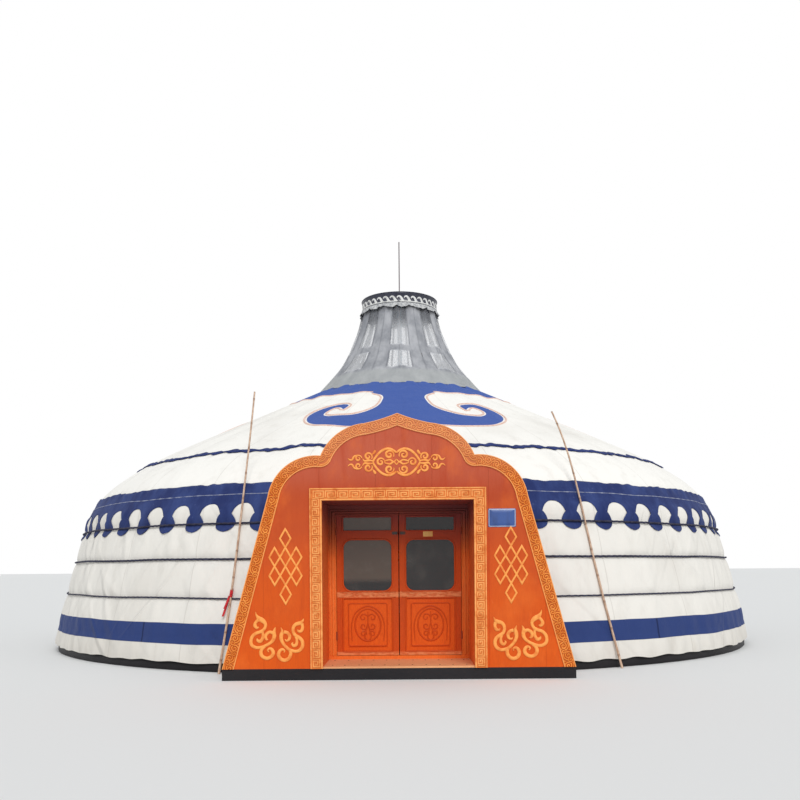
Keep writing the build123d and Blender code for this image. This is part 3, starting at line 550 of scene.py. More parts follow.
@cache
def board_wood():
    """The entrance board's veneer: redder under the arch, more orange towards the ground, and scuffed."""
    timber = bpy.context.scene.yurt_entrance
    f = Finish("board_wood", roughness=0.42, specular=0.15, Coat_Weight=0.05, Coat_Roughness=0.4)
    x, _, z = f.axes
    lines = f.noise(5.0, 6.0, 0.6, (6.0, 6.0, 0.5))
    figure = (lines * (8.0 * tau)).wave()
    cloudy = f.noise(1.6, 4.0)
    up = (z + (cloudy - 0.5) * 1.2).between(0.3, 2.5)
    colour = f.mix(up, tuple(timber.board_low), tuple(timber.board_high))
    colour = f.mix(z.between(1.95, 2.35) * 0.8, colour, srgb(196, 98, 72))
    streaks = f.noise(9.0, 4.0, 0.6, (1.0, 1.0, 0.12)).between(0.50, 0.75)
    dark = figure * 0.14 + cloudy.between(0.45, 0.75) * 0.30 + streaks * 0.35
    colour = f.mix(dark, colour, srgb(174, 58, 22))
    blotchy = f.noise(3.1, 4.0, 0.55, (1.0, 1.0, 0.6))
    colour = f.mix(blotchy.between(0.50, 0.72) * 0.30, colour, srgb(244, 122, 46))
    joint = abs(x.math("PINGPONG", x + 10.0, 0.61) - 0.305).between(0.3005, 0.3035)
    colour = f.mix(joint * 0.22, colour, srgb(120, 40, 16))
    worn = f.noise(26.0, stretch=(1.0, 1.0, 0.3)).between(0.66, 0.76) * z.between(1.2, 0.2)
    return f.made(
        Base_Color=f.mix(worn * 0.4, colour, srgb(240, 150, 90)), Roughness=0.36 + cloudy * 0.2 + worn * 0.2,
        Normal=f.bump(1.0 - joint, 0.002, 0.6, f.bump(figure, 0.001, 0.2)),
    )


@cache
def carved_gilt():
    """The carved border: gilt on the high parts, with a painted highlight along the crest of each bead and a
    pinkish painted highlight towards the top, and dark stain left in the hollows.
    """
    f = Finish("carved_gilt", roughness=0.45, specular=0.2)
    high, fresh = f.attribute("relief"), tuple(bpy.context.scene.yurt_entrance.gilt)
    gold = f.mix(f.noise(9.0, 4.0).between(0.3, 0.7), fresh, srgb(220, 124, 44))
    colour = f.mix(high.between(0.10, 0.60), srgb(192, 90, 30), gold)
    # Painted highlight along the crest of each bead.
    colour = f.mix(high.between(1.02, 1.15), colour, srgb(252, 172, 100))
    # Pinkish painted highlight towards the top of the border.
    colour = f.mix(f.axes[2].between(2.1, 2.6) * 0.35, colour, srgb(240, 176, 134))
    return f.made(Base_Color=colour, Normal=f.bump(f.noise(120.0, 2.0), 0.0015, 0.5))


@cache
def gilt(name, colour, worn):
    """Gold paint on raised carving, thin on its edges."""
    f = Finish(name, roughness=0.42, specular=0.2)
    colour = f.mix(f.noise(14.0, 4.0, 0.6).between(0.42, 0.70), colour, worn)
    return f.made(Base_Color=colour, Normal=f.bump(f.noise(90.0, 2.0), 0.001, 0.4))


@cache
def metal(name, colour, dark, roughness, amount):
    """Painted or bare metal with spots of rust or dirt."""
    f = Finish(name, roughness=roughness, metallic=amount, specular=0.5)
    spots = f.noise(26.0, 5.0, 0.65)
    colour = f.mix(spots.between(0.5, 0.72), colour, dark)
    return f.made(Base_Color=colour, Roughness=roughness + spots * 0.25, Normal=f.bump(spots, 0.0008, 0.4))


@cache
def pane_glass():
    """Dusty door glass in front of a dark room: the glass is painted dark and nearly opaque as painted shade
    of the room, with a paler curtain behind it.
    """
    f = Finish("pane_glass", roughness=0.1, specular=0.5, IOR=1.5)
    x, _, z = f.axes
    dust = f.noise(3.5, 5.0, 0.6)
    curtain = x.between(0.0, -0.02) * z.between(1.02, 1.10)
    # Painted shade: the glass is dark for the unlit room behind it.
    colour = f.mix(curtain * 0.8, srgb(44, 42, 42), srgb(96, 84, 72))
    return f.made(
        Base_Color=f.mix(dust.between(0.45, 0.8) * 0.3, colour, srgb(120, 116, 108)),
        Roughness=0.07 + dust * 0.18, Alpha=0.90 + curtain * 0.06,
        Normal=f.bump(f.noise(2.2, 2.0), 0.002, 0.15),
    )


@cache
def bamboo():
    """Weathered bamboo: pale skin with darker streaks along the pole, and dark knots."""
    f = Finish("bamboo", roughness=0.5, specular=0.4)
    streaks = f.noise(2.0, 4.0, stretch=(30.0, 30.0, 1.2))
    colour = f.mix(streaks.between(0.35, 0.7), srgb(214, 184, 158), srgb(170, 136, 112))
    colour = f.mix(f.attribute("knot"), colour, srgb(136, 100, 78))
    return f.made(Base_Color=colour, Normal=f.bump(streaks, 0.002, 0.4))


@cache
def enamel(name, colour, dark):
    """A bare enamelled plate, chipped and streaked a little."""
    f = Finish(name, roughness=0.3, specular=0.5, Coat_Weight=0.3, Coat_Roughness=0.2)
    patchy = f.noise(12.0, 4.0, stretch=(1.0, 1.0, 0.4))
    colour = f.mix(patchy.between(0.4, 0.75), colour, dark)
    return f.made(Base_Color=colour, Roughness=0.25 + patchy * 0.3)


# Settings


def colour_setting(name, description, *colour):
    return FloatVectorProperty(
        name=name, description=description, subtype="COLOR", size=4, min=0, max=1, default=srgb(*colour),
    )


def length_setting(name, description, default, low, high):
    return FloatProperty(
        name=name, description=description, unit="LENGTH", default=default, min=low, max=high,
    )


class YurtCloth(bpy.types.PropertyGroup):
    """The canvas, the band and the cap."""

    canvas: colour_setting("Canvas", "Colour of the clean canvas", 234, 230, 222)
    stripe: colour_setting("Stripe", "Colour of the stripe near the ground", 42, 60, 112)
    scroll: colour_setting("Scrolls", "Colour of the scrolls on the roof", 60, 88, 160)
    band: colour_setting("Band", "Colour of the band at the eave", 37, 49, 97)
    fold: length_setting("Folds", "How far the folds of the wall stand out", 0.006, 0, 0.02)
    sag: length_setting("Sag", "How far the roof sinks between two poles", 0.008, 0, 0.02)
    waves: IntProperty(name="Waves", description="Waves round the cap", default=34, min=3, max=80)


class YurtEntrance(bpy.types.PropertyGroup):
    """The entrance board, its border and its fret."""

    board_high: colour_setting("Board, Upper", "Colour of the board under the arch", 178, 74, 42)
    board_low: colour_setting("Board, Lower", "Colour of the board near the ground", 220, 90, 18)
    gilt: colour_setting("Gilt", "Colour of the carved border", 248, 158, 72)
    relief: length_setting("Carving", "Depth of the border's carving", 0.010, 0.002, 0.02)
    fret_pitch: length_setting("Fret", "Length of one square of the fret", 0.13, 0.05, 0.2)


class YurtView(bpy.types.PropertyGroup):
    """The camera and the light."""

    lens: FloatProperty(
        name="Lens", description="Focal length, in millimetres", default=39.91, min=10, max=200,
    )
    eye: FloatVectorProperty(
        name="Eye", description="Place of the camera", subtype="TRANSLATION", unit="LENGTH",
        default=(0.09, -15.58, 1.2),
    )
    sun: FloatProperty(name="Sun", description="Strength of the soft lamp", default=1.68, min=0, max=10)
    sky: FloatProperty(name="Sky", description="Strength of the even light", default=0.61, min=0, max=3)


# Cloth


def quarter_angles(side, where, z, count):
    """Angles over one quarter of the wall or the lower roof, from the doorway's cheek where it meets one."""
    start = np.where(z < EAVE + 0.001, np.arcsin((PORTAL_HALF + 0.004) / canvas_radius(z)), 0.0)
    low, high = (start, pi / 2) if where == "front" else (np.full_like(z, pi / 2), pi)
    t = np.linspace(0, 1, count)[:, None]
    return on_side(low[None, :] + (high - low)[None, :] * t, side)


def wall_shape(angle, z):
    """The wall's radius: the outline, drawn in at each rope, full between them, with folds round it."""
    cloth = bpy.context.scene.yurt_cloth
    r = canvas_radius(z)
    drawn = sum(np.exp(-((z - rope) / 0.055) ** 2) for rope in (*ROPES, 2.05))
    near = sum(np.exp(-((z - rope) / 0.16) ** 2) for rope in ROPES)
    swell = 0.012 * np.abs(np.sin(pi * (z - ROPES[0]) / (ROPES[1] - ROPES[0]))) ** 0.7
    free = 1 - 0.75 * np.clip(drawn, 0, 1)
    folds = cloth.fold * ripples(angle, 11, 7, 40, 150, z, 2.4) * free
    slack = 0.010 * ripples(angle, 12, 6, 8, 30, z, 0.8) * free
    gathers = 0.003 * ripples(angle, 15, 9, 110, 200, z, 5.0) * near * free
    kicks = 0.010 * np.exp(-((z - 0.16) / 0.10) ** 2) * (1 + 0.7 * ripples(angle, 13, 6, 30, 110))
    return r + swell - 0.014 * drawn + folds + slack + gathers + kicks


def roof_shape(angle, z, out=0.0):
    """The roof's radius and height: the outline, lower between the poles, with slow swells."""
    cloth = bpy.context.scene.yurt_cloth
    r = canvas_radius(z)
    high = blend_step(2.1, 2.7, z)
    between = 0.5 - 0.5 * np.cos(POLES * angle + pi)
    drop = cloth.sag * between * high - 0.005 * ripples(angle, 21, 7, 5, 40, z, 1.2) - out
    steep = np.interp(z, CANVAS_LINE[:, 1], CANVAS_SLOPE)
    tilt = np.hypot(1.0, steep)
    return r - drop / tilt, z + drop * steep / tilt


def cover_radius(angle, z):
    """The radius of the canvas under the band: the wall below the eave and the roof above."""
    share = blend_step(1.97, 2.07, z)
    return wall_shape(angle, z) * (1 - share) + roof_shape(angle, z)[0] * share


def cloth_size(angle, z):
    """The flat width and length of a stretch of canvas: round its foot, and up its outline."""
    line = CANVAS_LINE[(CANVAS_LINE[:, 1] >= z.min()) & (CANVAS_LINE[:, 1] <= z.max())]
    length = float(np.linalg.norm(np.diff(line, axis=0), axis=1).sum())
    turn = float(np.ptp(angle))
    widest, mean = float(line[:, 0].max()), float(line[:, 0].mean())
    return (turn * widest, length), turn * mean * length


class YURT_OT_wall_canvas(bpy.types.Operator):
    """Make the four lengths of wall canvas, roped in and with a sewn stripe"""

    bl_idname = "yurt.wall_canvas"
    bl_label = "Wall Canvas"

    def execute(self, context):
        v = np.concatenate([np.linspace(0.105, 0.70, 26), np.linspace(0.72, 2.035, 50)])
        for name, side in SIDES.items():
            for where in ("front", "back"):
                angle = quarter_angles(side, where, v, 261)
                z = np.broadcast_to(v, angle.shape)
                hem = 0.010 * ripples(angle, 14, 6, 20, 90) * blend_step(0.30, 0.11, z)
                s = Surface()
                s.grid(round_points(angle, wall_shape(angle, z), z + hem))
                node = f"wall_cover_{where}_{name}"
                obj = s.piece(f"wall_canvas_{where}_{name}", canvas("wall"), SHELTER, [node])
                flat, area = cloth_size(angle, v)
        return {"FINISHED"}


# Outline of one half of a roof scroll in plan: across, and distance out from the axis
SCROLL_INNER = (
    (-0.44, 2.06), (-0.33, 2.22), (-0.315, 2.44), (-0.42, 2.82), (-0.74, 3.09), (-1.02, 3.06),
    (-1.14, 2.94), (-1.165, 2.81), (-1.11, 2.68), (-1.01, 2.61), (-0.93, 2.66), (-0.885, 2.82),
)
SCROLL_OUTER = (
    (-0.885, 2.82), (-0.815, 2.60), (-1.00, 2.44), (-1.205, 2.52), (-1.36, 2.72), (-1.40, 2.95),
    (-1.33, 3.20), (-1.13, 3.44), (-0.73, 3.62), (0.0, 3.70),
)
SCROLL_TURN = radians(1.7)
CROWN_BLUE = 2.05


def scroll_outline():
    """One scroll, closed: up the inner edge, back along the outer edge, and the same mirrored."""
    foot = np.array([(-0.62, 1.90)])
    left = np.vstack([foot, smooth_curve(SCROLL_INNER, 90), smooth_curve(SCROLL_OUTER, 80)[1:]])
    return np.vstack([left, (left * (-1, 1))[::-1][1:]])


def inside_depth(points, outline):
    """How far inside a closed outline each point lies, and less than 0 outside: the distance to the nearest
    edge, with its sign from the count of edges to one side."""
    a, b = outline, np.roll(outline, -1, 0)
    edge = b - a
    length = np.maximum((edge**2).sum(1), 1e-12)
    depth = np.empty(len(points))
    for first in range(0, len(points), 4000):
        p = points[first:first + 4000, None, :]
        t = np.clip(((p - a) * edge).sum(-1) / length, 0, 1)
        near = np.sqrt((((a + t[..., None] * edge) - p) ** 2).sum(-1)).min(1)
        above = (a[:, 1] > p[..., 1]) != (b[:, 1] > p[..., 1])
        run = np.where(edge[:, 1] == 0, 1e-12, edge[:, 1])
        crossing = a[:, 0] + (p[..., 1] - a[:, 1]) * edge[:, 0] / run
        odd = ((above & (p[..., 0] < crossing)).sum(1) % 2).astype(bool)
        depth[first:first + 4000] = np.where(odd, near, -near)
    return depth


def scroll_depth(angle, r):
    """How deep in the blue each point of the roof lies: in the ring at the crown or one of four scrolls."""
    turned = (angle - SCROLL_TURN + pi / 4) % (pi / 2) - pi / 4
    flat = np.stack([r * np.sin(turned), r * np.cos(turned)], -1)
    depth = CROWN_BLUE - r
    near = (r < 3.9) & (np.abs(flat[..., 0]) < 1.7)
    depth = np.where(near, depth, np.minimum(depth, 0.5))
    found = inside_depth(flat[near], scroll_outline())
    out = depth.copy()
    out[near] = np.maximum(depth[near], found)
    return out


class YURT_OT_roof_canvas(bpy.types.Operator):
    """Make the roof: four lower lengths, and two upper ones with blue scrolls, piping and a ruffled hem"""

    bl_idname = "yurt.roof_canvas"
    bl_label = "Roof Canvas"

    def execute(self, context):
        v = np.linspace(EAVE + 0.002, ROOF_LAP + 0.11, 30)
        for name, side in SIDES.items():
            for where in ("front", "back"):
                angle = quarter_angles(side, where, v, 130)
                z = np.broadcast_to(v, angle.shape)
                r, height = roof_shape(angle, z)
                s = Surface()
                s.grid(round_points(angle, r, height))
                obj = s.piece(
                    f"roof_canvas_lower_{where}_{name}", canvas("lower"), SHELTER,
                    [f"roof_cover_lower_{where}_{name}"],
                )
                flat, area = cloth_size(angle, v)
            self.upper(name, side)
            self.hem(name, side)
        self.piping()
        return {"FINISHED"}

    def upper(self, name, side):
        """Half the upper roof, with the depth of each point in the blue as an attribute."""
        r0 = np.linspace(float(canvas_radius(ROOF_LAP)), float(canvas_radius(NECK)), 104)
        t = np.linspace(0, pi, 330)[:, None]
        angle = np.broadcast_to(on_side(t, side), (len(t), len(r0)))
        z = np.broadcast_to(roof_height(r0), angle.shape)
        depth = scroll_depth(angle, np.broadcast_to(r0, angle.shape))
        edge = 0.006 * np.exp(-((z - ROOF_LAP) / 0.03) ** 2)
        r, height = roof_shape(angle, z, 0.007 + 0.003 * blend_step(-0.01, 0.01, depth) + edge)
        s = Surface()
        s.grid(round_points(angle, r, height), horn=depth)
        obj = s.piece(
            f"roof_canvas_upper_{name}", canvas("upper"), SHELTER,
            [f"roof_cover_upper_{name}"],
        )
        flat, area = cloth_size(angle, roof_height(r0))

    def hem(self, name, side):
        """A dark blue binding along the upper canvas's foot: a flat band that wavers and widens."""
        angle = np.linspace(0, pi, 560) if side > 0 else np.linspace(-pi, 0, 560)
        section = np.array([(-1, 0.0), (-0.9, 0.8), (-0.3, 1.25), (0.4, 1.1), (1, 0.6), (1, 0.0)])
        half = 0.032 + 0.011 * ripples(angle, 31, 8, 30, 160)
        middle = ROOF_LAP + 0.011 * ripples(angle, 32, 7, 10, 60) + 0.005 * ripples(angle, 33, 8, 90, 240)
        z = middle[:, None] + half[:, None] * 0.62 * section[None, :, 0]
        out = 0.010 + 0.009 * section[None, :, 1] * (1 + 0.35 * ripples(angle, 34, 8, 120, 300)[:, None])
        r, height = roof_shape(angle[:, None], z, out)
        s = Surface()
        s.grid(round_points(angle[:, None], r, height), wrap_v=True, capped=True)
        s.piece(f"roof_hem_{name}", blue_cloth("hem"), SHELTER)

    def piping(self):
        """A pale pink cord a finger's width outside the edge of each scroll and of the ring between them."""
        outline = scroll_outline()[1:-1]
        outline = outline[np.hypot(outline[:, 0], outline[:, 1]) > CROWN_BLUE + 0.02]
        ahead = np.gradient(outline, axis=0)
        ahead /= np.linalg.norm(ahead, axis=1, keepdims=True)
        outline = outline + 0.036 * np.stack([-ahead[:, 1], ahead[:, 0]], -1)
        s = Surface()
        for k in range(4):
            turn = SCROLL_TURN + k * pi / 2

            def place(x, y, out, turn=turn):
                r, a = np.hypot(x, y), np.arctan2(x, y) + turn
                r1, z1 = roof_shape(a, roof_height(r), 0.009 + out)
                return round_points(a, r1, z1)

            band(s, outline, 0.026, 0.011, place)
            span = np.linspace(0.225, pi / 2 - 0.225, 90)
            edge = np.stack([(CROWN_BLUE + 0.004) * np.sin(span), (CROWN_BLUE + 0.004) * np.cos(span)], -1)
            band(s, edge, 0.020, 0.010, place)
        cord = plain_cloth("piping", srgb(226, 184, 168), srgb(238, 208, 192))
        s.piece("roof_piping", cord, SHELTER)


# Share of half a period that a gap between two lobes takes at each height
LOBE_GAPS = np.array([
    (HOLE_TOP, 0.0), (2.013, 0.13), (2.006, 0.235), (1.992, 0.36), (1.972, 0.46), (1.948, 0.545),
    (1.922, 0.605), (1.902, 0.640), (1.889, 0.672), (1.881, 0.645), (1.868, 0.590), (1.848, 0.530),
    (1.825, 0.470), (1.800, 0.425), (1.778, 0.400), (1.766, 0.400), (1.754, 0.425), (1.738, 0.455),
    (1.722, 0.495), (1.706, 0.560), (1.692, 0.640), (1.681, 0.730), (1.672, 0.835), (1.667, 0.92),
    (LOBE_FOOT, 1.0),
])


class YURT_OT_eave_band(bpy.types.Operator):
    """Make the blue band at the eave, with its ruffled head, its seam and its row of hanging lobes"""

    bl_idname = "yurt.eave_band"
    bl_label = "Eave Band"

    def radius(self, angle, z):
        """Outside the canvas, with ruffles at the head and loose lobes below, tied in by the rope."""
        head = blend_step(2.16, BAND_TOP, z)
        loose = blend_step(2.05, 1.70, z) * (1 - np.exp(-((z - ROPES[2]) / 0.035) ** 2))
        ruffle = 0.009 * head * (1 + np.maximum(ripples(angle, 41, 9, 70, 200), -0.8))
        sway = 0.007 * loose * (1 + np.maximum(ripples(angle, 42, 9, 60, 200, z, 3.0), -0.9))
        return cover_radius(angle, z) + 0.007 + ruffle + sway

    def execute(self, context):
        step = tau / LOBES
        columns = 13
        rows = LOBE_GAPS[::-1, 0]
        share = 1 - LOBE_GAPS[::-1, 1]
        for name, side in SIDES.items():
            s = Surface()
            first, last = (0.0, pi) if side > 0 else (-pi, 0.0)
            count = LOBES // 2 * (columns - 1) + 1
            angle = np.linspace(first, last, count)[:, None]
            v = np.linspace(0, 1, 12)[None, :]
            top = BAND_TOP + 0.010 * ripples(angle, 43, 8, 12, 60) + 0.006 * ripples(angle, 44, 8, 90, 200)
            z = HOLE_TOP + (top - HOLE_TOP) * v
            s.grid(round_points(angle, self.radius(angle, z), z))
            across = np.linspace(-1, 1, columns)[:, None]
            for k in range(-LOBES // 2, LOBES // 2):
                middle = (k + 0.5) * step
                if not first < middle < last or abs(middle) < 2 * step:
                    continue
                angle = middle + across * share[None, :] * step / 2
                z = np.broadcast_to(rows, angle.shape)
                s.grid(round_points(angle, self.radius(angle, z), z))
            obj = s.piece(
                f"eave_band_{name}", blue_cloth("band"), SHELTER, [f"valance_{name}"],
                merge=0.0004, shell=0.003,
            )
            self.seam(name, first, last)
        return {"FINISHED"}

    def seam(self, name, first, last):
        """A pale line of stitches: a thin cord that wavers a little, just proud of the band."""
        path = np.linspace(first, last, 620)
        section = np.array([(-1, 0), (-0.6, 1), (0.6, 1), (1, 0)])
        half = 0.0052 * (1 + 0.35 * ripples(path, 45, 7, 150, 200))
        z = (BAND_SEAM + 0.004 * ripples(path, 46, 7, 8, 50))[:, None] + half[:, None] * section[None, :, 0]
        r = self.radius(path[:, None], z) + 0.0035 * section[None, :, 1]
        s = Surface()
        s.grid(round_points(path[:, None], r, z), wrap_v=True, capped=True)
        thread = plain_cloth("pale_thread", srgb(158, 162, 178), srgb(110, 118, 152))
        s.piece(f"band_seam_{name}", thread, SHELTER)


class YURT_OT_girth_ropes(bpy.types.Operator):
    """Make the three ropes round the wall, each of three twisted strands"""

    bl_idname = "yurt.girth_ropes"
    bl_label = "Girth Ropes"

    def execute(self, context):
        s = Surface()
        for height, proud, thick in zip(ROPES, ROPE_GAPS, ROPE_RADII):
            r0 = float(canvas_radius(height))
            start = asin((PORTAL_HALF + 0.002) / r0)
            angle = np.linspace(start, tau - start, 2200)[:, None]
            around = all_round(8).T
            twist = angle * r0 / ROPE_LAY * tau
            wire = thick * (1 + 0.12 * np.cos(3 * around - twist))
            sag = 0.004 * ripples(angle, 51, 6, 6, 40)
            r = r0 + proud + thick - 0.004 + wire * np.cos(around)
            z = height + sag + wire * np.sin(around)
            s.grid(round_points(angle, r, z), wrap_v=True, capped=True)
        dark = rope_fibre("girth_rope", srgb(36, 34, 54), srgb(62, 62, 84))
        s.piece("girth_ropes_twisted", dark, SHELTER, ["girth_ropes"])
        return {"FINISHED"}


# Crown


class YURT_OT_crown(bpy.types.Operator):
    """Make the crown's netting and the cap with its waves, skirt and lid"""

    bl_idname = "yurt.crown"
    bl_label = "Crown and Cap"

    def execute(self, context):
        self.netting()
        self.cap(context.scene.yurt_cloth.waves)
        self.skirt()
        self.lid()
        return {"FINISHED"}

    def netting(self):
        """Netting stretched over the ribs: it sinks between them and flares a little at its foot."""
        angle = all_round(306)
        v = np.linspace(0, 1, 60)[None, :]
        z = CROWN_FOOT + (CROWN_TOP - CROWN_FOOT) * v
        ribs = np.cos(POLES / 2 * angle)
        r = crown_radius(z) + 0.021 - 0.024 * (0.5 - 0.5 * ribs) * blend_step(4.20, 4.5, z)
        r = r + 0.004 * ripples(angle, 61, 7, 9, 50, z, 5.0)
        flare = 0.02 * np.exp(-((z - CROWN_FOOT) / 0.03) ** 2) * (1 + 0.6 * ripples(angle, 62, 6, 20, 60))
        s = Surface()
        s.grid(round_points(angle, r + flare, z), wrap_u=True)
        obj = s.piece(
            "crown_netting", crown_netting(), SHELTER, ["crown_cover"], shell=0.002,
        )

    def cap(self, waves):
        """The band round the cap, its white foot moulding, and a running wave in raised tapered strokes."""
        angle = all_round(240)
        low, high = CAP_LOW, CAP_HIGH
        section = np.array([
            (0.545, low), (0.641, low), (0.641, low - 0.012), (0.652, low - 0.012), (0.655, low - 0.004),
            (0.650, low + 0.004), (0.650, high - 0.016), (0.657, high - 0.012), (0.657, high), (0.545, high),
        ])
        s = Surface()
        s.grid(round_points(angle, section[None, :, 0], section[None, :, 1]), wrap_u=True, wrap_v=True)
        navy = enamel("cap_navy", srgb(40, 42, 58), srgb(58, 60, 78))
        s.piece("cap_band", navy, SHELTER, ["cap_ring"])

        def place(x, z, out):
            return round_points(x / CAP_RADIUS, CAP_RADIUS + out, z)

        s = Surface()
        pitch = tau * CAP_RADIUS / waves
        foot = low + 0.012
        wave = np.array([
            (0.066, -0.002), (0.052, 0.024), (0.038, 0.054), (0.016, 0.080), (-0.010, 0.084), (-0.030, 0.072),
            (-0.034, 0.056),
        ])
        width = np.interp(np.linspace(0, 1, 24), (0, 0.2, 0.5, 0.8, 1), (0.056, 0.044, 0.032, 0.023, 0.010))
        for k in range(waves):
            band(s, smooth_curve(wave + (k * pitch, foot), 24), width, 0.004, place)
        around = np.linspace(0, tau * CAP_RADIUS, 240)[:-1]
        moulding = np.stack([around, np.full_like(around, low + 0.013)], -1)
        band(s, moulding, 0.020, 0.010, place, closed=True)
        white = enamel("cap_white", srgb(226, 226, 222), srgb(178, 178, 172))
        s.piece("cap_waves", white, SHELTER)

    def skirt(self):
        """A scalloped flap under the cap: its foot falls in even scallops and it ripples in and out."""
        angle = all_round(420)
        v = np.linspace(0, 1, 12)[None, :]
        scallop = np.abs(np.sin(8 * angle + 0.4 + 0.5 * ripples(angle, 73, 5, 3, 9)))
        z = SKIRT_TOP - (0.044 + 0.040 * scallop + 0.006 * ripples(angle, 71, 5, 20, 60)) * v
        r = 0.657 + 0.027 * v + 0.020 * v * (scallop - 0.5) + 0.010 * v * ripples(angle, 72, 6, 16, 70)
        s = Surface()
        s.grid(round_points(angle, r, z), wrap_u=True, flip=True)
        cloth = plain_cloth("skirt_cloth", srgb(150, 152, 154), srgb(206, 206, 204))
        obj = s.piece("cap_skirt_flap", cloth, SHELTER, ["cap_skirt"], shell=-0.003)

    def lid(self):
        """A low cone of sheet with a rolled edge and raised seams."""
        angle = all_round(272)
        low = CAP_HIGH
        section = np.array([
            (0.035, low + 0.001), (0.640, low + 0.001), (0.658, low + 0.003), (0.664, low + 0.009),
            (0.658, low + 0.016), (0.640, low + 0.016), (0.30, low + 0.034), (0.035, low + 0.0445),
        ])
        seam = 0.0035 * np.exp(-((((angle * 12 / tau) % 1) - 0.5) / 0.03) ** 2)
        lift = np.array([0, 0, 0, 0, 0, 1, 1, 0.3])[None, :]
        s = Surface()
        points = round_points(angle, section[None, :, 0], section[None, :, 1] + seam * lift)
        s.grid(points, wrap_u=True, wrap_v=True)
        sheet = metal("cap_sheet", srgb(76, 80, 92), srgb(112, 104, 96), 0.5, 0.35)
        s.piece("cap_lid_rolled", sheet, SHELTER, ["cap_lid"])


class YURT_OT_base_ring(bpy.types.Operator):
    """Make the base ring, round instead of panelled, from one cheek of the doorway to the other"""

    bl_idname = "yurt.base_ring"
    bl_label = "Base Ring"

    def execute(self, context):
        start = asin((PORTAL_HALF + 0.002) / 5.62)
        for name, side in SIDES.items():
            angle = on_side(np.linspace(start, pi, 150)[:, None], side)
            section = np.array([
                (5.612, 0.0), (5.618, 0.006), (5.616, 0.118), (5.606, BASE_TOP), (5.482, BASE_TOP),
                (5.482, 0.0),
            ])
            bumps = 0.0025 * ripples(angle, 81, 6, 20, 120)
            s = Surface()
            points = round_points(angle, section[None, :, 0] + bumps, section[None, :, 1])
            s.grid(points, wrap_v=True, capped=True)
            s.piece(
                f"base_ring_round_{name}", base_timber(), SHELTER, [f"base_ring_{name}"],
            )
        return {"FINISHED"}


# Entrance


BOARD_APEX = (0.0, 2.882)
APEX_FLANK = (0.360, 2.774)
CROWN_LOBE = (0.665, 2.652)
NOTCH = (0.834, 2.428)
SHOULDER_LOBE = (1.205, 2.322)
HIP = (1.407, 1.990)
FOOT = (1.915, BASE_TOP)


def arc_points(a, b, c, count):
    """Points of the circle through three points, from the first to the last, and the outward directions."""
    (ax, az), (bx, bz), (cx, cz) = a, b, c
    d = 2 * (ax * (bz - cz) + bx * (cz - az) + cx * (az - bz))
    a2, b2, c2 = ax**2 + az**2, bx**2 + bz**2, cx**2 + cz**2
    u = np.array([
        (a2 * (bz - cz) + b2 * (cz - az) + c2 * (az - bz)) / d,
        (a2 * (cx - bx) + b2 * (ax - cx) + c2 * (bx - ax)) / d,
    ])
    start, end = np.array(a) - u, np.array(c) - u
    first = np.arctan2(start[1], start[0])
    turn = (np.arctan2(end[1], end[0]) - first + pi) % tau - pi
    angle = first + turn * np.linspace(0, 1, count)
    out = np.stack([np.cos(angle), np.sin(angle)], -1)
    points = u + np.linalg.norm(start) * out
    return points, (out if turn < 0 else -out)


def board_edge():
    """The board's edge from its apex to its right foot, and the inward direction at each point. Where the
    edge turns sharply the point stays and the direction swings round."""
    dip = ((BOARD_APEX[0] + APEX_FLANK[0]) / 2, (BOARD_APEX[1] + APEX_FLANK[1]) / 2 - 0.010)
    pieces = [
        arc_points(BOARD_APEX, dip, APEX_FLANK, 70),
        arc_points(APEX_FLANK, CROWN_LOBE, NOTCH, 120),
        arc_points(NOTCH, SHOULDER_LOBE, HIP, 150),
    ]
    t = np.linspace(0, 1, 340)[:, None]
    hip, foot = np.array(HIP), np.array(FOOT)
    along = (foot - hip) / np.linalg.norm(foot - hip)
    pieces.append((hip + (foot - hip) * t, np.broadcast_to((-along[1], along[0]), (340, 2))))
    points, inward = [], []
    for p, n in pieces:
        n = -n
        if inward:
            last = inward[-1][-1]
            swing = np.linspace(0, 1, 14)[1:-1, None]
            between = last * (1 - swing) + n[0] * swing
            between /= np.linalg.norm(between, axis=1, keepdims=True)
            points.append(np.repeat(p[:1], len(between), 0))
            inward.append(between)
        points.append(p)
        inward.append(n)
    return np.vstack(points), np.vstack(inward)


def arabesque(along, across):
    """Relief of the carving, from 0 to 1: in each length of 0.11 m a spiral wave about its middle, turned the
    other way in every second one, and a smaller one about each join."""
    length = 0.110
    count = np.floor(along / length)
    side = np.where(count % 2 == 0, 1.0, -1.0)
    x, y = along - (count + 0.5) * length, (across + 0.012 * side) * side
    first = np.cos(tau * np.hypot(x, y) / 0.024 - np.arctan2(y, x))
    joint = np.round(along / length)
    side = np.where(joint % 2 == 0, 1.0, -1.0)
    x, y = along - joint * length, (across - 0.024 * side) * side
    second = np.cos(tau * np.hypot(x, y) / 0.020 + np.arctan2(y, x))
    near = blend_step(0.036, 0.029, np.hypot(x, y))
    return blend_step(-0.35, 0.45, first * (1 - near) + second * near)


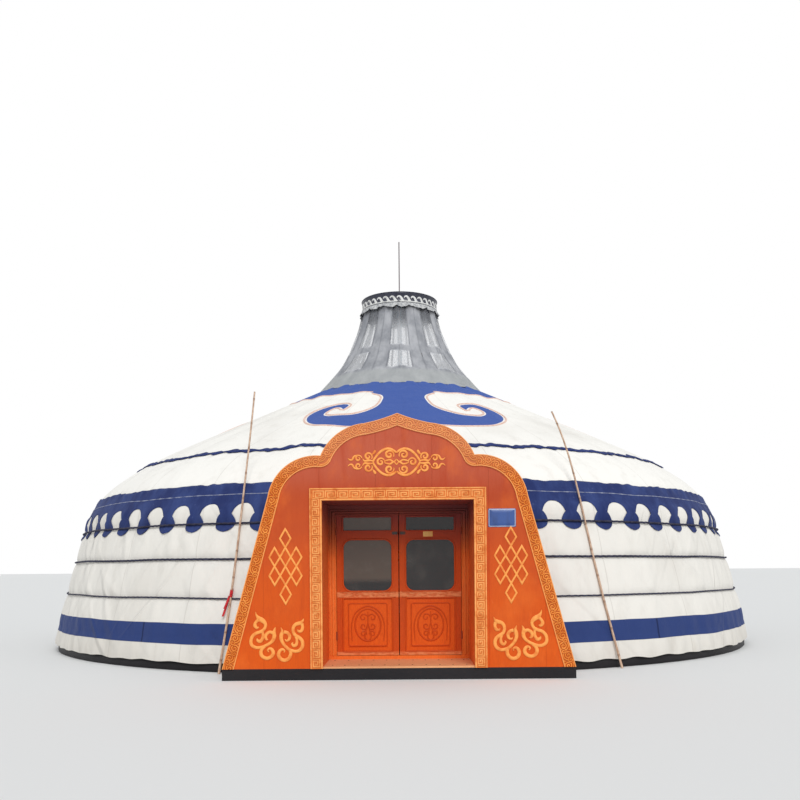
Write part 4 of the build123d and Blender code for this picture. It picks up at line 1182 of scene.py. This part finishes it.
class YURT_OT_carved_border(bpy.types.Operator):
    """Make the carved border of the entrance board: two beads and a field of scrolls"""

    bl_idname = "yurt.carved_border"
    bl_label = "Carved Border"

    def execute(self, context):
        depth = context.scene.yurt_entrance.relief
        edge, inward = board_edge()
        run = np.concatenate([[0], np.cumsum(np.linalg.norm(np.diff(edge, axis=0), axis=1))])
        place = np.arange(len(run)) * 1e-7 + run
        corners = place[np.flatnonzero(np.diff(run) < 1e-9)]
        where = np.unique(np.concatenate([np.linspace(0, place[-1], 1050), corners]))
        p = np.stack([np.interp(where, place, edge[:, k]) for k in range(2)], -1)
        n = np.stack([np.interp(where, place, inward[:, k]) for k in range(2)], -1)
        n /= np.linalg.norm(n, axis=1, keepdims=True)
        inner = BORDER_WIDTH - BEAD
        t = np.concatenate([
            np.linspace(0, BEAD, 5), np.linspace(BEAD + 0.0025, inner - 0.0025, 27),
            np.linspace(inner, BORDER_WIDTH, 5),
        ])
        middles = (BEAD / 2, inner + BEAD / 2)
        bead = np.maximum(*(np.sqrt(np.clip(1 - ((t - m) / (BEAD / 2)) ** 2, 0, 1)) for m in middles))
        field = blend_step(BEAD, BEAD + 0.005, t) * blend_step(inner, inner - 0.005, t)
        carved = arabesque(where[:, None], t[None, :] - BORDER_WIDTH / 2) * field
        high = np.where(field > 0, carved, np.broadcast_to(bead, carved.shape))
        out = 0.006 + (depth + 0.002) * np.where(field > 0, 0.15 + 0.85 * high, high)
        out[:, 0] = out[:, -1] = 0.0
        # On the beads the relief runs up to 1.3 at the crest, where the gilt finish paints a highlight.
        tone = np.where(field > 0, high, 0.7 + 0.6 * high)
        s = Surface()
        for side in (1, -1):
            flat = p[:, None, :] + n[:, None, :] * t[None, :, None]
            x = np.maximum(flat[..., 0], 0.0)
            z = np.maximum(flat[..., 1], BASE_TOP)
            front = np.stack([side * x, BOARD_Y - out, z], -1)
            back = front[:, [-1, 0]] * (1, 0, 1) + (0, BOARD_Y + 0.001, 0)
            shape = np.concatenate([front, back], 1)
            relief = np.concatenate([tone, np.zeros((len(p), 2))], 1)
            s.grid(shape, wrap_v=True, flip=side < 0, relief=relief)
        s.piece(
            "board_border_carved", carved_gilt(), SHELTER, ["entry_board_border"],
            merge=0.00005,
        )
        return {"FINISHED"}


class YURT_OT_fret(bpy.types.Operator):
    """Make the fret round the doorway: square spirals between two beads, raised on the flat moulding"""

    bl_idname = "yurt.fret"
    bl_label = "Doorway Fret"

    def execute(self, context):
        pitch = context.scene.yurt_entrance.fret_pitch
        middle = TRIM_WIDTH / 2
        x, top, across = DOORWAY_HALF + middle, DOORWAY_TOP + middle, 0.034
        key = np.array([
            (-1, -1), (-1, 1), (1, 1), (1, -1), (-0.55, -1), (-0.55, 0.35), (0.5, 0.35), (0.5, -0.35),
            (-0.05, -0.35),
        ])
        place = on_plane(BOARD_Y - TRIM_RISE)
        s = Surface()
        length = 2 * (x + across)
        count = round(length / pitch)
        for k in range(count):
            cx = ((k + 0.5) / count - 0.5) * length
            path = np.stack([cx + key[:, 0] * (length / count / 2 - 0.011), top + key[:, 1] * across], -1)
            band(s, path, 0.012, 0.006, place, section=FLAT_BAND)
        low, high = BASE_TOP + 0.012, top - across - 0.006
        count = round((high - low) / (0.78 * pitch))
        for side in (-1, 1):
            for k in range(count):
                cz = low + (k + 0.5) / count * (high - low)
                along = (high - low) / count / 2 - 0.011
                path = np.stack([side * x + key[:, 1] * across, cz + key[:, 0] * along * side], -1)
                band(s, path, 0.012, 0.006, place, section=FLAT_BAND)
        for off, width in ((0.010, 0.018), (TRIM_WIDTH - 0.008, 0.012)):
            w, h = DOORWAY_HALF + off, DOORWAY_TOP + off
            path = np.array([(w, BASE_TOP + 0.002), (w, h), (-w, h), (-w, BASE_TOP + 0.002)])
            band(s, path, width, 0.008, place)
        gold = gilt("fret_gilt", srgb(246, 168, 96), srgb(226, 132, 62))
        s.piece("doorway_fret", gold, SHELTER)
        return {"FINISHED"}


def medallion(s, place, x0, z0):
    """Scrollwork over the doorway: a lobed cartouche full of spirals, and two pairs of curls on either side.
    Each stroke has its widths at the start, the middle and the end."""
    centre = [(spiral(0.172, 0.0, 0.047, 0.008, 180, -500), 0.008, 0.019, 0.005)]
    upper = [
        (smooth_curve([
            (0.0, 0.101), (0.040, 0.130), (0.094, 0.144), (0.154, 0.124), (0.204, 0.080), (0.242, 0.028),
            (0.254, 0.0),
        ], 34), 0.017, 0.021, 0.017),
        (spiral(0.078, 0.078, 0.052, 0.008, 205, -520, 30), 0.008, 0.020, 0.005),
        (smooth_curve([(0.0, 0.030), (0.030, 0.0), (0.070, 0.022), (0.120, 0.012), (0.130, 0.0)], 22),
         0.008, 0.016, 0.005),
        (spiral(0.306, 0.060, 0.046, 0.008, 215, -470, 26), 0.008, 0.019, 0.005),
        (smooth_curve([(0.226, 0.128), (0.240, 0.104), (0.262, 0.078)], 12), 0.014, 0.022, 0.005),
        (smooth_curve([(0.250, 0.012), (0.300, 0.018), (0.345, 0.012), (0.368, 0.040)], 16),
         0.008, 0.019, 0.005),
        (spiral(0.412, 0.040, 0.038, 0.007, 175, -450, 24), 0.008, 0.016, 0.005),
        (smooth_curve([(0.410, 0.078), (0.455, 0.064), (0.478, 0.028), (0.505, 0.026), (0.526, 0.044)], 20),
         0.008, 0.017, 0.005),
    ]
    bold = 1.3
    for sx in (1, -1):
        for sz, strokes in ((1, centre), (1, upper), (-1, upper)):
            for path, *widths in strokes:
                width = taper(len(path), *(bold * w for w in widths))
                band(s, path * (sx, sz) + (x0, z0), width, 0.009, place)


def endless_knot(s, place, x0, z0):
    """An endless knot: eight linked diamonds, each a closed band."""
    w, h = 0.0585, 0.101
    for dx, dz in ((0, 3), (0, 1), (0, -1), (0, -3), (-2, 1), (-2, -1), (2, 1), (2, -1)):
        cx, cz = x0 + dx * w, z0 + dz * h
        path = np.array([(cx + w, cz), (cx, cz + h), (cx - w, cz), (cx, cz - h)])
        band(s, path, 0.020, 0.008, place, closed=True)


# Strokes of the two clouds of the left pair, from its middle: across, height and width, in millimetres
OUTER_CLOUD = (
    ((-227, 746, 5), (-217, 708, 23), (-192, 674, 47), (-153, 651, 53), (-124, 619, 38), (-123, 583, 32),
     (-144, 548, 35), (-183, 526, 36), (-230, 510, 36), (-267, 473, 36), (-280, 424, 36), (-267, 382, 36),
     (-223, 358, 35), (-168, 363, 32), (-115, 382, 32), (-68, 409, 33), (-38, 443, 38), (-26, 481, 42),
     (-30, 519, 42), (-24, 549, 26), (-12, 579, 5)),
    ((-192, 661, 38), (-225, 632, 32), (-235, 598, 39), (-214, 573, 30), (-192, 581, 11)),
    ((-152, 534, 30), (-149, 496, 30), (-155, 454, 35), (-179, 426, 38), (-206, 435, 30), (-214, 458, 11)),
    ((-41, 515, 38), (-74, 526, 33), (-108, 507, 36), (-123, 475, 36), (-109, 447, 27), (-92, 447, 9)),
    ((-123, 375, 30), (-159, 344, 36), (-174, 303, 39), (-155, 261, 39), (-111, 242, 38), (-66, 257, 38),
     (-39, 295, 39), (-51, 333, 36), (-77, 348, 26), (-99, 329, 20), (-85, 308, 8)),
)
INNER_CLOUD = (
    ((294, 670, 5), (279, 640, 27), (249, 619, 42), (207, 606, 39), (182, 576, 36), (177, 534, 35),
     (197, 492, 36), (237, 466, 38), (271, 432, 38), (280, 386, 38), (262, 341, 38), (222, 316, 35),
     (177, 318, 35), (131, 337, 35), (93, 371, 33), (65, 409, 35), (48, 451, 39), (50, 496, 42),
     (59, 534, 30), (45, 576, 5)),
    ((271, 617, 38), (280, 578, 33), (268, 538, 35), (237, 530, 26), (224, 551, 9)),
    ((203, 477, 27), (217, 435, 29), (211, 390, 35), (184, 375, 33), (165, 396, 23), (177, 413, 8)),
    ((78, 526, 38), (116, 515, 35), (139, 481, 35), (131, 443, 30), (105, 429, 23), (88, 447, 9)),
    ((139, 329, 32), (150, 291, 38), (131, 242, 39), (86, 219, 39), (40, 235, 39), (18, 276, 39),
     (27, 314, 36), (55, 337, 29), (82, 326, 20), (78, 303, 8)),
)


def cloud_scroll(s, place, x0, strokes, side):
    """A cloud scroll with a flame's tip: broad strokes that end in curls."""
    for stroke in strokes:
        path = smooth_curve(np.array(stroke) / 1000, 5 * len(stroke))
        band(s, path[:, :2] * (-side, 1) + (x0, 0), path[:, 2], 0.010, place)


class YURT_OT_board_ornament(bpy.types.Operator):
    """Make the gilt scrolls, knots and clouds on the entrance board, and the two bare plates"""

    bl_idname = "yurt.board_ornament"
    bl_label = "Board Ornament"

    def execute(self, context):
        s = Surface()
        place = on_plane(BOARD_Y)
        medallion(s, place, -0.01, 2.352)
        for side in (-1, 1):
            endless_knot(s, place, side * 1.218, 1.232)
            for strokes in (OUTER_CLOUD, INNER_CLOUD):
                cloud_scroll(s, place, side * 1.318, strokes, side)
        gold = gilt("ornament_gilt", srgb(250, 168, 86), srgb(232, 132, 60))
        s.piece("board_ornament", gold, SHELTER)

        s = Surface()
        self.plate(s, rounded_box((0.975, 1.275), (1.640, 1.840), 0.012), place, 0.004)
        blue = enamel("plate_blue", srgb(46, 80, 146), srgb(34, 62, 120))
        s.piece("address_plate", blue, SHELTER)
        s = Surface()
        band(s, rounded_box((0.984, 1.266), (1.649, 1.831), 0.008), 0.007, 0.0055, place, closed=True)
        white = enamel("plate_rim", srgb(214, 220, 230), srgb(170, 182, 204))
        s.piece("address_plate_rim", white, SHELTER)

        s = Surface()
        self.plate(s, rounded_box((0.285, 0.398), (1.572, 1.648), 0.006), on_plane(LEAF_Y), 0.0015)
        gold = enamel("sticker_gold", srgb(224, 172, 74), srgb(238, 198, 110))
        s.piece("gold_sticker", gold, RIGHT)
        return {"FINISHED"}

    def plate(self, s, outline, place, thickness):
        """A thin plate: its outline at the back and the front, closed by rings that shrink to its middle."""
        middle = outline.mean(0)
        rows = [(1.0, -0.5), (1.0, 0.7), (0.985, 1.0), (0.5, 1.0), (0.02, 1.0)]
        flat = np.stack([middle + (outline - middle) * share for share, rise in rows], 1)
        rise = np.broadcast_to(np.array([rise for share, rise in rows]) * thickness, flat.shape[:2])
        s.grid(place(flat[..., 0], flat[..., 1], rise), wrap_u=True, capped=True)


class YURT_OT_door_mouldings(bpy.types.Operator):
    """Make the mouldings and carvings of both door leaves and the nails of the threshold"""

    bl_idname = "yurt.door_mouldings"
    bl_label = "Door Mouldings"

    def execute(self, context):
        front, field = on_plane(LEAF_Y), on_plane(PANEL_Y)
        for body, x in ((LEFT, (-0.645, -0.087)), (RIGHT, (0.087, 0.645))):
            s = Surface()
            for z, corner in (((0.945, 1.535), 0.095), ((1.650, 1.800), 0.006), ((0.245, 0.850), 0.004)):
                wide, high = (x[0] - 0.010, x[1] + 0.010), (z[0] - 0.010, z[1] + 0.010)
                band(s, rounded_box(wide, high, corner + 0.010), 0.018, 0.007, front, closed=True)
            for z in (0.868, 0.927):
                path = np.array([(x[0] - 0.05, z), (x[1] + 0.05, z)])
                band(s, path, 0.010, 0.006, front)
            for k in range(9):
                cx = x[0] + (k + 0.5) * (x[1] - x[0]) / 9
                path = spiral(cx, 0.8975, 0.020, 0.005, 180 if k % 2 else 0, -400 if k % 2 else 400, 18)
                band(s, path, taper(18, 0.004, 0.010, 0.005), 0.005, front)
            middle = sum(x) / 2
            border = rounded_box((x[0] + 0.055, x[1] - 0.055), (0.300, 0.795), 0.02)
            band(s, border, 0.012, 0.006, field, closed=True)
            oval = spiral(middle, 0.545, 0.150, 0.150, 0, 360 - 360 / 40, 40)
            oval[:, 1] = 0.545 + (oval[:, 1] - 0.545) * 1.25
            band(s, oval, 0.018, 0.008, field, closed=True)
            arch = smooth_curve([
                (-0.185, 0.36), (-0.19, 0.56), (-0.13, 0.70), (0.0, 0.765), (0.13, 0.70), (0.19, 0.56),
                (0.185, 0.36),
            ], 40) + (middle, 0)
            band(s, arch, taper(40, 0.008, 0.018, 0.008, 0.5), 0.007, field)
            for k in (-1, 1):
                for cz, r, first, turn in (
                    (0.63, 0.050, 200, -430), (0.53, 0.046, 160, 420), (0.44, 0.040, 200, -400),
                ):
                    path = spiral(0.052, cz, r, 0.008, first, turn, 26) * (k, 1) + (middle, 0)
                    band(s, path, taper(26, 0.006, 0.016, 0.006), 0.007, field)
                leaf = smooth_curve([(0.0, 0.36), (0.035, 0.40), (0.02, 0.49), (0.0, 0.58), (0.0, 0.70)], 26)
                band(s, leaf * (k, 1) + (middle, 0), taper(26, 0.01, 0.016, 0.006), 0.007, field)
            s.piece(f"{body}_mouldings", leaf_wood(), body)

        s = Surface()
        for x, width in ((0.742, 0.010), (0.772, 0.022), (0.802, 0.014)):
            path = np.array([(x, 0.190), (x, 1.890 - (0.802 - x)), (-x, 1.890 - (0.802 - x)), (-x, 0.190)])
            band(s, path, width, 0.6 * width, front)
        # The first colour is lightened as painted light against the shade of the passage, and the second is
        # painted shade under the lintel.
        jamb_wood = doorway_wood_painted_light_and_shade("jamb_bead_wood", srgb(246, 130, 56), srgb(116, 58, 58), srgb(190, 78, 30))
        s.piece("door_frame_beads", jamb_wood, SHELTER)

        s = Surface()
        ring = all_round(8)
        rows = np.array([(0.009, -0.002), (0.009, 0.001), (0.006, 0.0028), (0.001, 0.0032)])
        rng = np.random.default_rng(91)
        for y in (-5.36, -5.86):
            for x in np.arange(-0.74, 0.78, 0.148):
                cx, cy = x + rng.uniform(-0.01, 0.01), y + rng.uniform(-0.015, 0.015)
                head = (cx + rows[:, 0] * np.cos(ring), cy + rows[:, 0] * np.sin(ring), 0.145 + rows[:, 1])
                s.grid(np.stack(np.broadcast_arrays(*head), -1), wrap_u=True, capped=True)
        nail_iron = metal("nail_iron", srgb(58, 48, 44), srgb(110, 66, 44), 0.6, 0.5)
        s.piece("floor_nails", nail_iron, SHELTER)
        return {"FINISHED"}


def pole_point(r, degrees, z):
    """The point of a panelled ring at an azimuth, where its ridges have this radius."""
    angle, gore = radians(degrees), tau / POLES
    inside = r * cos(gore / 2) / cos(angle % gore - gore / 2)
    return np.array([inside * sin(angle), -inside * cos(angle), z])


# Azimuth at the foot and at the rope, height of the top, and the bend's half sine, cubic and quartic
POLE_FOOT = 5.760
LEFT_POLE = (-21.2, -21.4, 3.430, 0.025, -0.035, 0.0)
RIGHT_POLE = (27.3, 24.9, 3.150, 0.0, 0.945, -0.905)


def pole_axis(pole, u):
    """Points of a leaning pole's axis at these shares of its length, its directions and its length: a
    straight line from foot to rope and on to the top, which wavers a little and is bent sideways."""
    foot, seat, top, bow, cubic, quartic = pole
    start, rest = pole_point(POLE_FOOT, foot, 0.0), pole_point(pole_seat_radius(), seat, ROPES[2])
    along = (rest - start) / np.linalg.norm(rest - start)
    length = np.linalg.norm(rest - start) * top / ROPES[2]
    side = np.cross(along, (0, 0, 1))
    side /= np.linalg.norm(side)
    bent = 0.006 * np.sin(u * length * 2.1) + bow * np.sin(pi * u) + u**3 * (cubic + quartic * u)
    bend = bent[:, None] * np.array([cos(radians(seat)), sin(radians(seat)), 0.0])
    return start + along * (u * length)[:, None] + bend, (along, side, np.cross(side, along)), length


def pole_seat_radius():
    """The radius of a leaning pole's axis where it rests on the upper rope: the wall's there, from its
    radii 0.9 m up and at the eave, and outside it the rope and half the pole."""
    low, high, rise, outside = 5.467, 5.157, EAVE - 0.900, 0.0413
    wall = high + (low - high) * (EAVE - ROPES[2]) / rise
    return wall + outside / cos(np.arctan2(low - high, rise))


class YURT_OT_leaning_poles(bpy.types.Operator):
    """Make the two bamboo poles that lean on the upper rope, one with a red strap"""

    bl_idname = "yurt.leaning_poles"
    bl_label = "Leaning Poles"

    def execute(self, context):
        s = Surface()
        for pole in (LEFT_POLE, RIGHT_POLE):
            u = np.linspace(0, 1, 220)
            axis, (_, side, up), length = pole_axis(pole, u)
            knot = sum(np.exp(-((u * length - k) / 0.011) ** 2) for k in np.arange(0.16, length, 0.33))
            r = 0.0145 * (1 - 0.28 * u) + 0.0018 * knot
            a = all_round(10)
            ring = side * np.cos(a) + up * np.sin(a)
            points = axis[:, None, :] + r[:, None, None] * ring[None, :, :]
            points[..., 2] = np.maximum(points[..., 2], 0.0)
            s.grid(points, wrap_v=True, flip=True, capped=True, knot=np.clip(knot, 0, 1)[:, None])
        s.piece("bamboo_poles", bamboo(), SHELTER, ["leaning_poles"])
        self.strap()
        return {"FINISHED"}

    def strap(self):
        """A red strap wound round the left pole, with two loose ends."""
        s = Surface()
        a = np.linspace(0, 3 * tau, 60)[:, None]
        centre, (along, side, up) = pole_axis(LEFT_POLE, np.linspace(0.258, 0.282, 60))[:2]
        out = side * np.cos(a) + up * np.sin(a)
        rows = np.array([(-0.014, 0.0), (-0.014, 0.003), (0.014, 0.003), (0.014, 0.0)])
        turns = along * rows[None, :, :1] + out[:, None, :] * (0.0155 + rows[None, :, 1:])
        s.grid(centre[:, None, :] + turns, wrap_v=True, flip=True)
        outward = centre[0] * (1, 1, 0) / np.hypot(centre[0, 0], centre[0, 1])
        for sway, drop in ((-0.045, 0.24), (-0.022, 0.15)):
            u = np.linspace(0, 1, 16)[:, None]
            path = centre[5] + side * (sway * u**1.3 - 0.012) + up * 0.016
            path = path + outward * 0.075 * u - np.array([0, 0, drop]) * u
            rim = np.array([(-0.014, 0.0), (-0.014, 0.002), (0.014, 0.002), (0.014, 0.0)])
            strip = path[:, None, :] + side * rim[None, :, :1] - up * rim[None, :, 1:]
            s.grid(strip, wrap_v=True, capped=True)
        webbing = plain_cloth("red_webbing", srgb(214, 40, 48), srgb(176, 30, 36))
        s.piece("red_strap", webbing, SHELTER)


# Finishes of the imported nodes


class YURT_OT_finishes(bpy.types.Operator):
    """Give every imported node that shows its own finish"""

    bl_idname = "yurt.finishes"
    bl_label = "Finishes"

    def execute(self, context):
        raw = wood("raw_timber", srgb(186, 146, 98), srgb(148, 108, 68), True, 0.05)
        planks = wood("floor_timber", srgb(242, 178, 128), srgb(204, 134, 92), False, 0.05)
        lath = wood("red_lath", srgb(170, 66, 34), srgb(128, 42, 22), True, 0.1)
        steel = metal("crown_steel", srgb(96, 100, 104), srgb(120, 84, 62), 0.5, 0.6)
        iron = metal("door_iron", srgb(84, 80, 78), srgb(120, 76, 52), 0.45, 0.8)
        painted = metal("painted_iron", srgb(150, 62, 34), srgb(96, 56, 46), 0.5, 0.1)
        trim = gilt("trim_wood", srgb(224, 124, 56), srgb(204, 104, 44))
        # Passage and frame: their first colours are lightened as painted light against the shade of the
        # passage, and their second colours are painted shade under the lintel.
        passage = doorway_wood_painted_light_and_shade("passage_wood", srgb(250, 128, 58), srgb(126, 66, 64), srgb(186, 72, 32))
        jamb = doorway_wood_painted_light_and_shade("frame_wood", srgb(250, 128, 52), srgb(118, 60, 60), srgb(190, 76, 28))
        finishes = {
            **dict.fromkeys(("entry_board_left", "entry_board_right", "entry_board_top"), board_wood()),
            "doorway_trim": trim, "board_framing": raw, "passage_cheeks": passage, "passage_lid": passage,
            "door_frame": jamb,
            "porch_base": base_timber(), "porch_floor": planks, "floor_deck": planks, "floor_joists": raw,
            "lattice_left": lath, "lattice_right": lath, "roof_poles": lath, "crown_base_ring": lath,
            "crown_cross": lath, "crown_ribs": steel, "crown_hoops": steel,
            "crown_mast": enamel("mast_paint", srgb(150, 208, 232), srgb(116, 170, 196)),
            "finial": metal("finial_metal", srgb(104, 92, 96), srgb(84, 68, 66), 0.45, 0.6),
            "jamb_hinges": painted,
        }
        # The panel's second colour is painted shade under the lintel.
        panel = doorway_wood_painted_light_and_shade("panel_wood", srgb(232, 102, 26), srgb(150, 56, 36), srgb(196, 62, 14))
        parts = {
            "frame": leaf_wood(), "panel": panel, "glass": pane_glass(), "staple": iron, "hinges": painted,
        }
        for leaf in (LEFT, RIGHT):
            finishes |= {f"{leaf}_{part}": material for part, material in parts.items()}
        for node, material in finishes.items():
            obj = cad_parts[node]
            obj.data.materials.clear()
            obj.data.materials.append(material)
        return {"FINISHED"}


# Stage


class YURT_OT_stage(bpy.types.Operator):
    """Set the floor, the soft light and the camera"""

    bl_idname = "yurt.stage"
    bl_label = "Stage"

    def execute(self, context):
        scene, view = context.scene, context.scene.yurt_view
        scene.view_settings.view_transform = "Standard"

        mesh = bpy.data.meshes.new("floor")
        corners = [(FLOOR_REACH * x, FLOOR_REACH * y, 0) for x, y in ((-1, -1), (1, -1), (1, 1), (-1, 1))]
        mesh.from_pydata(corners, [], [(0, 1, 2, 3)])
        pale = Finish("floor", roughness=0.9, specular=0.1).made(Base_Color=srgb(232, 232, 230))
        mesh.materials.append(pale)
        self.placed(scene, "floor", mesh)

        lamp = bpy.data.lights.new("soft_sun", "SUN")
        lamp.energy, lamp.angle = view.sun, radians(30)
        self.placed(scene, "soft_sun", lamp).rotation_euler = (radians(51), 0.0, radians(11))

        scene.world = bpy.data.worlds.new("sky")
        self.sky(scene.world, view.sky)

        data = bpy.data.cameras.new("camera")
        data.lens, data.sensor_width, data.clip_end = view.lens, 36.0, 1000.0
        data.shift_x, data.shift_y = (pixels / PHOTO_SIDE for pixels in PHOTO_SHIFT)
        scene.camera = self.placed(scene, "camera", data)
        scene.camera.location = view.eye
        scene.camera.rotation_euler = (pi / 2, radians(PHOTO_ROLL), 0.0)
        return {"FINISHED"}

    def placed(self, scene, name, data):
        obj = bpy.data.objects.new(name, data)
        scene.collection.objects.link(obj)
        return obj

    def sky(self, world, strength):
        """Even light on the object, and plain white for the camera, straight, mirrored or through glass."""
        world.use_nodes = True
        sky = Nodes(world.node_tree)
        sky.tree.nodes.clear()
        rays = sky.node("LightPath").socket.node.outputs
        kinds = ("Camera", "Glossy", "Transmission")
        camera, glossy, through = (Value(sky, rays[f"Is {kind} Ray"]) for kind in kinds)
        seen = camera.math("MAXIMUM", camera.math("MAXIMUM", camera, glossy), through)
        even = sky.node("Background", Color=(0.93, 0.96, 1.0, 1.0), Strength=strength)
        white = sky.node("Background", Color=(1.0, 1.0, 1.0, 1.0), Strength=1.0)
        either = sky.node("MixShader", i0=seen, i1=even, i2=white)
        sky.join(either, sky.tree.nodes.new("ShaderNodeOutputWorld").inputs["Surface"])


class YURT_PT_panel(bpy.types.Panel):
    """Lists the pieces and their settings"""

    bl_label = "Yurt"
    bl_idname = "YURT_PT_panel"
    bl_space_type = "VIEW_3D"
    bl_region_type = "UI"
    bl_category = "Yurt"

    def draw(self, context):
        for group in SETTINGS:
            settings, box = getattr(context.scene, group), self.layout.box()
            for name in settings.__annotations__:
                box.prop(settings, name)
        for operator in OPERATORS:
            self.layout.operator(operator.bl_idname)


SETTINGS = {"yurt_cloth": YurtCloth, "yurt_entrance": YurtEntrance, "yurt_view": YurtView}
OPERATORS = (
    YURT_OT_wall_canvas, YURT_OT_roof_canvas, YURT_OT_eave_band, YURT_OT_girth_ropes, YURT_OT_crown,
    YURT_OT_base_ring, YURT_OT_carved_border, YURT_OT_fret, YURT_OT_board_ornament,
    YURT_OT_door_mouldings, YURT_OT_leaning_poles, YURT_OT_finishes, YURT_OT_stage,
)


def register():
    for cls in (*SETTINGS.values(), *OPERATORS, YURT_PT_panel):
        bpy.utils.register_class(cls)
    for name, cls in SETTINGS.items():
        setattr(bpy.types.Scene, name, PointerProperty(type=cls))


def unregister():
    for name in SETTINGS:
        delattr(bpy.types.Scene, name)
    for cls in reversed((*SETTINGS.values(), *OPERATORS, YURT_PT_panel)):
        bpy.utils.unregister_class(cls)


def main():
    register()
    for operator in OPERATORS:
        group, name = operator.bl_idname.split(".")
        getattr(getattr(bpy.ops, group), name)()


if __name__ == "__main__":
    main()
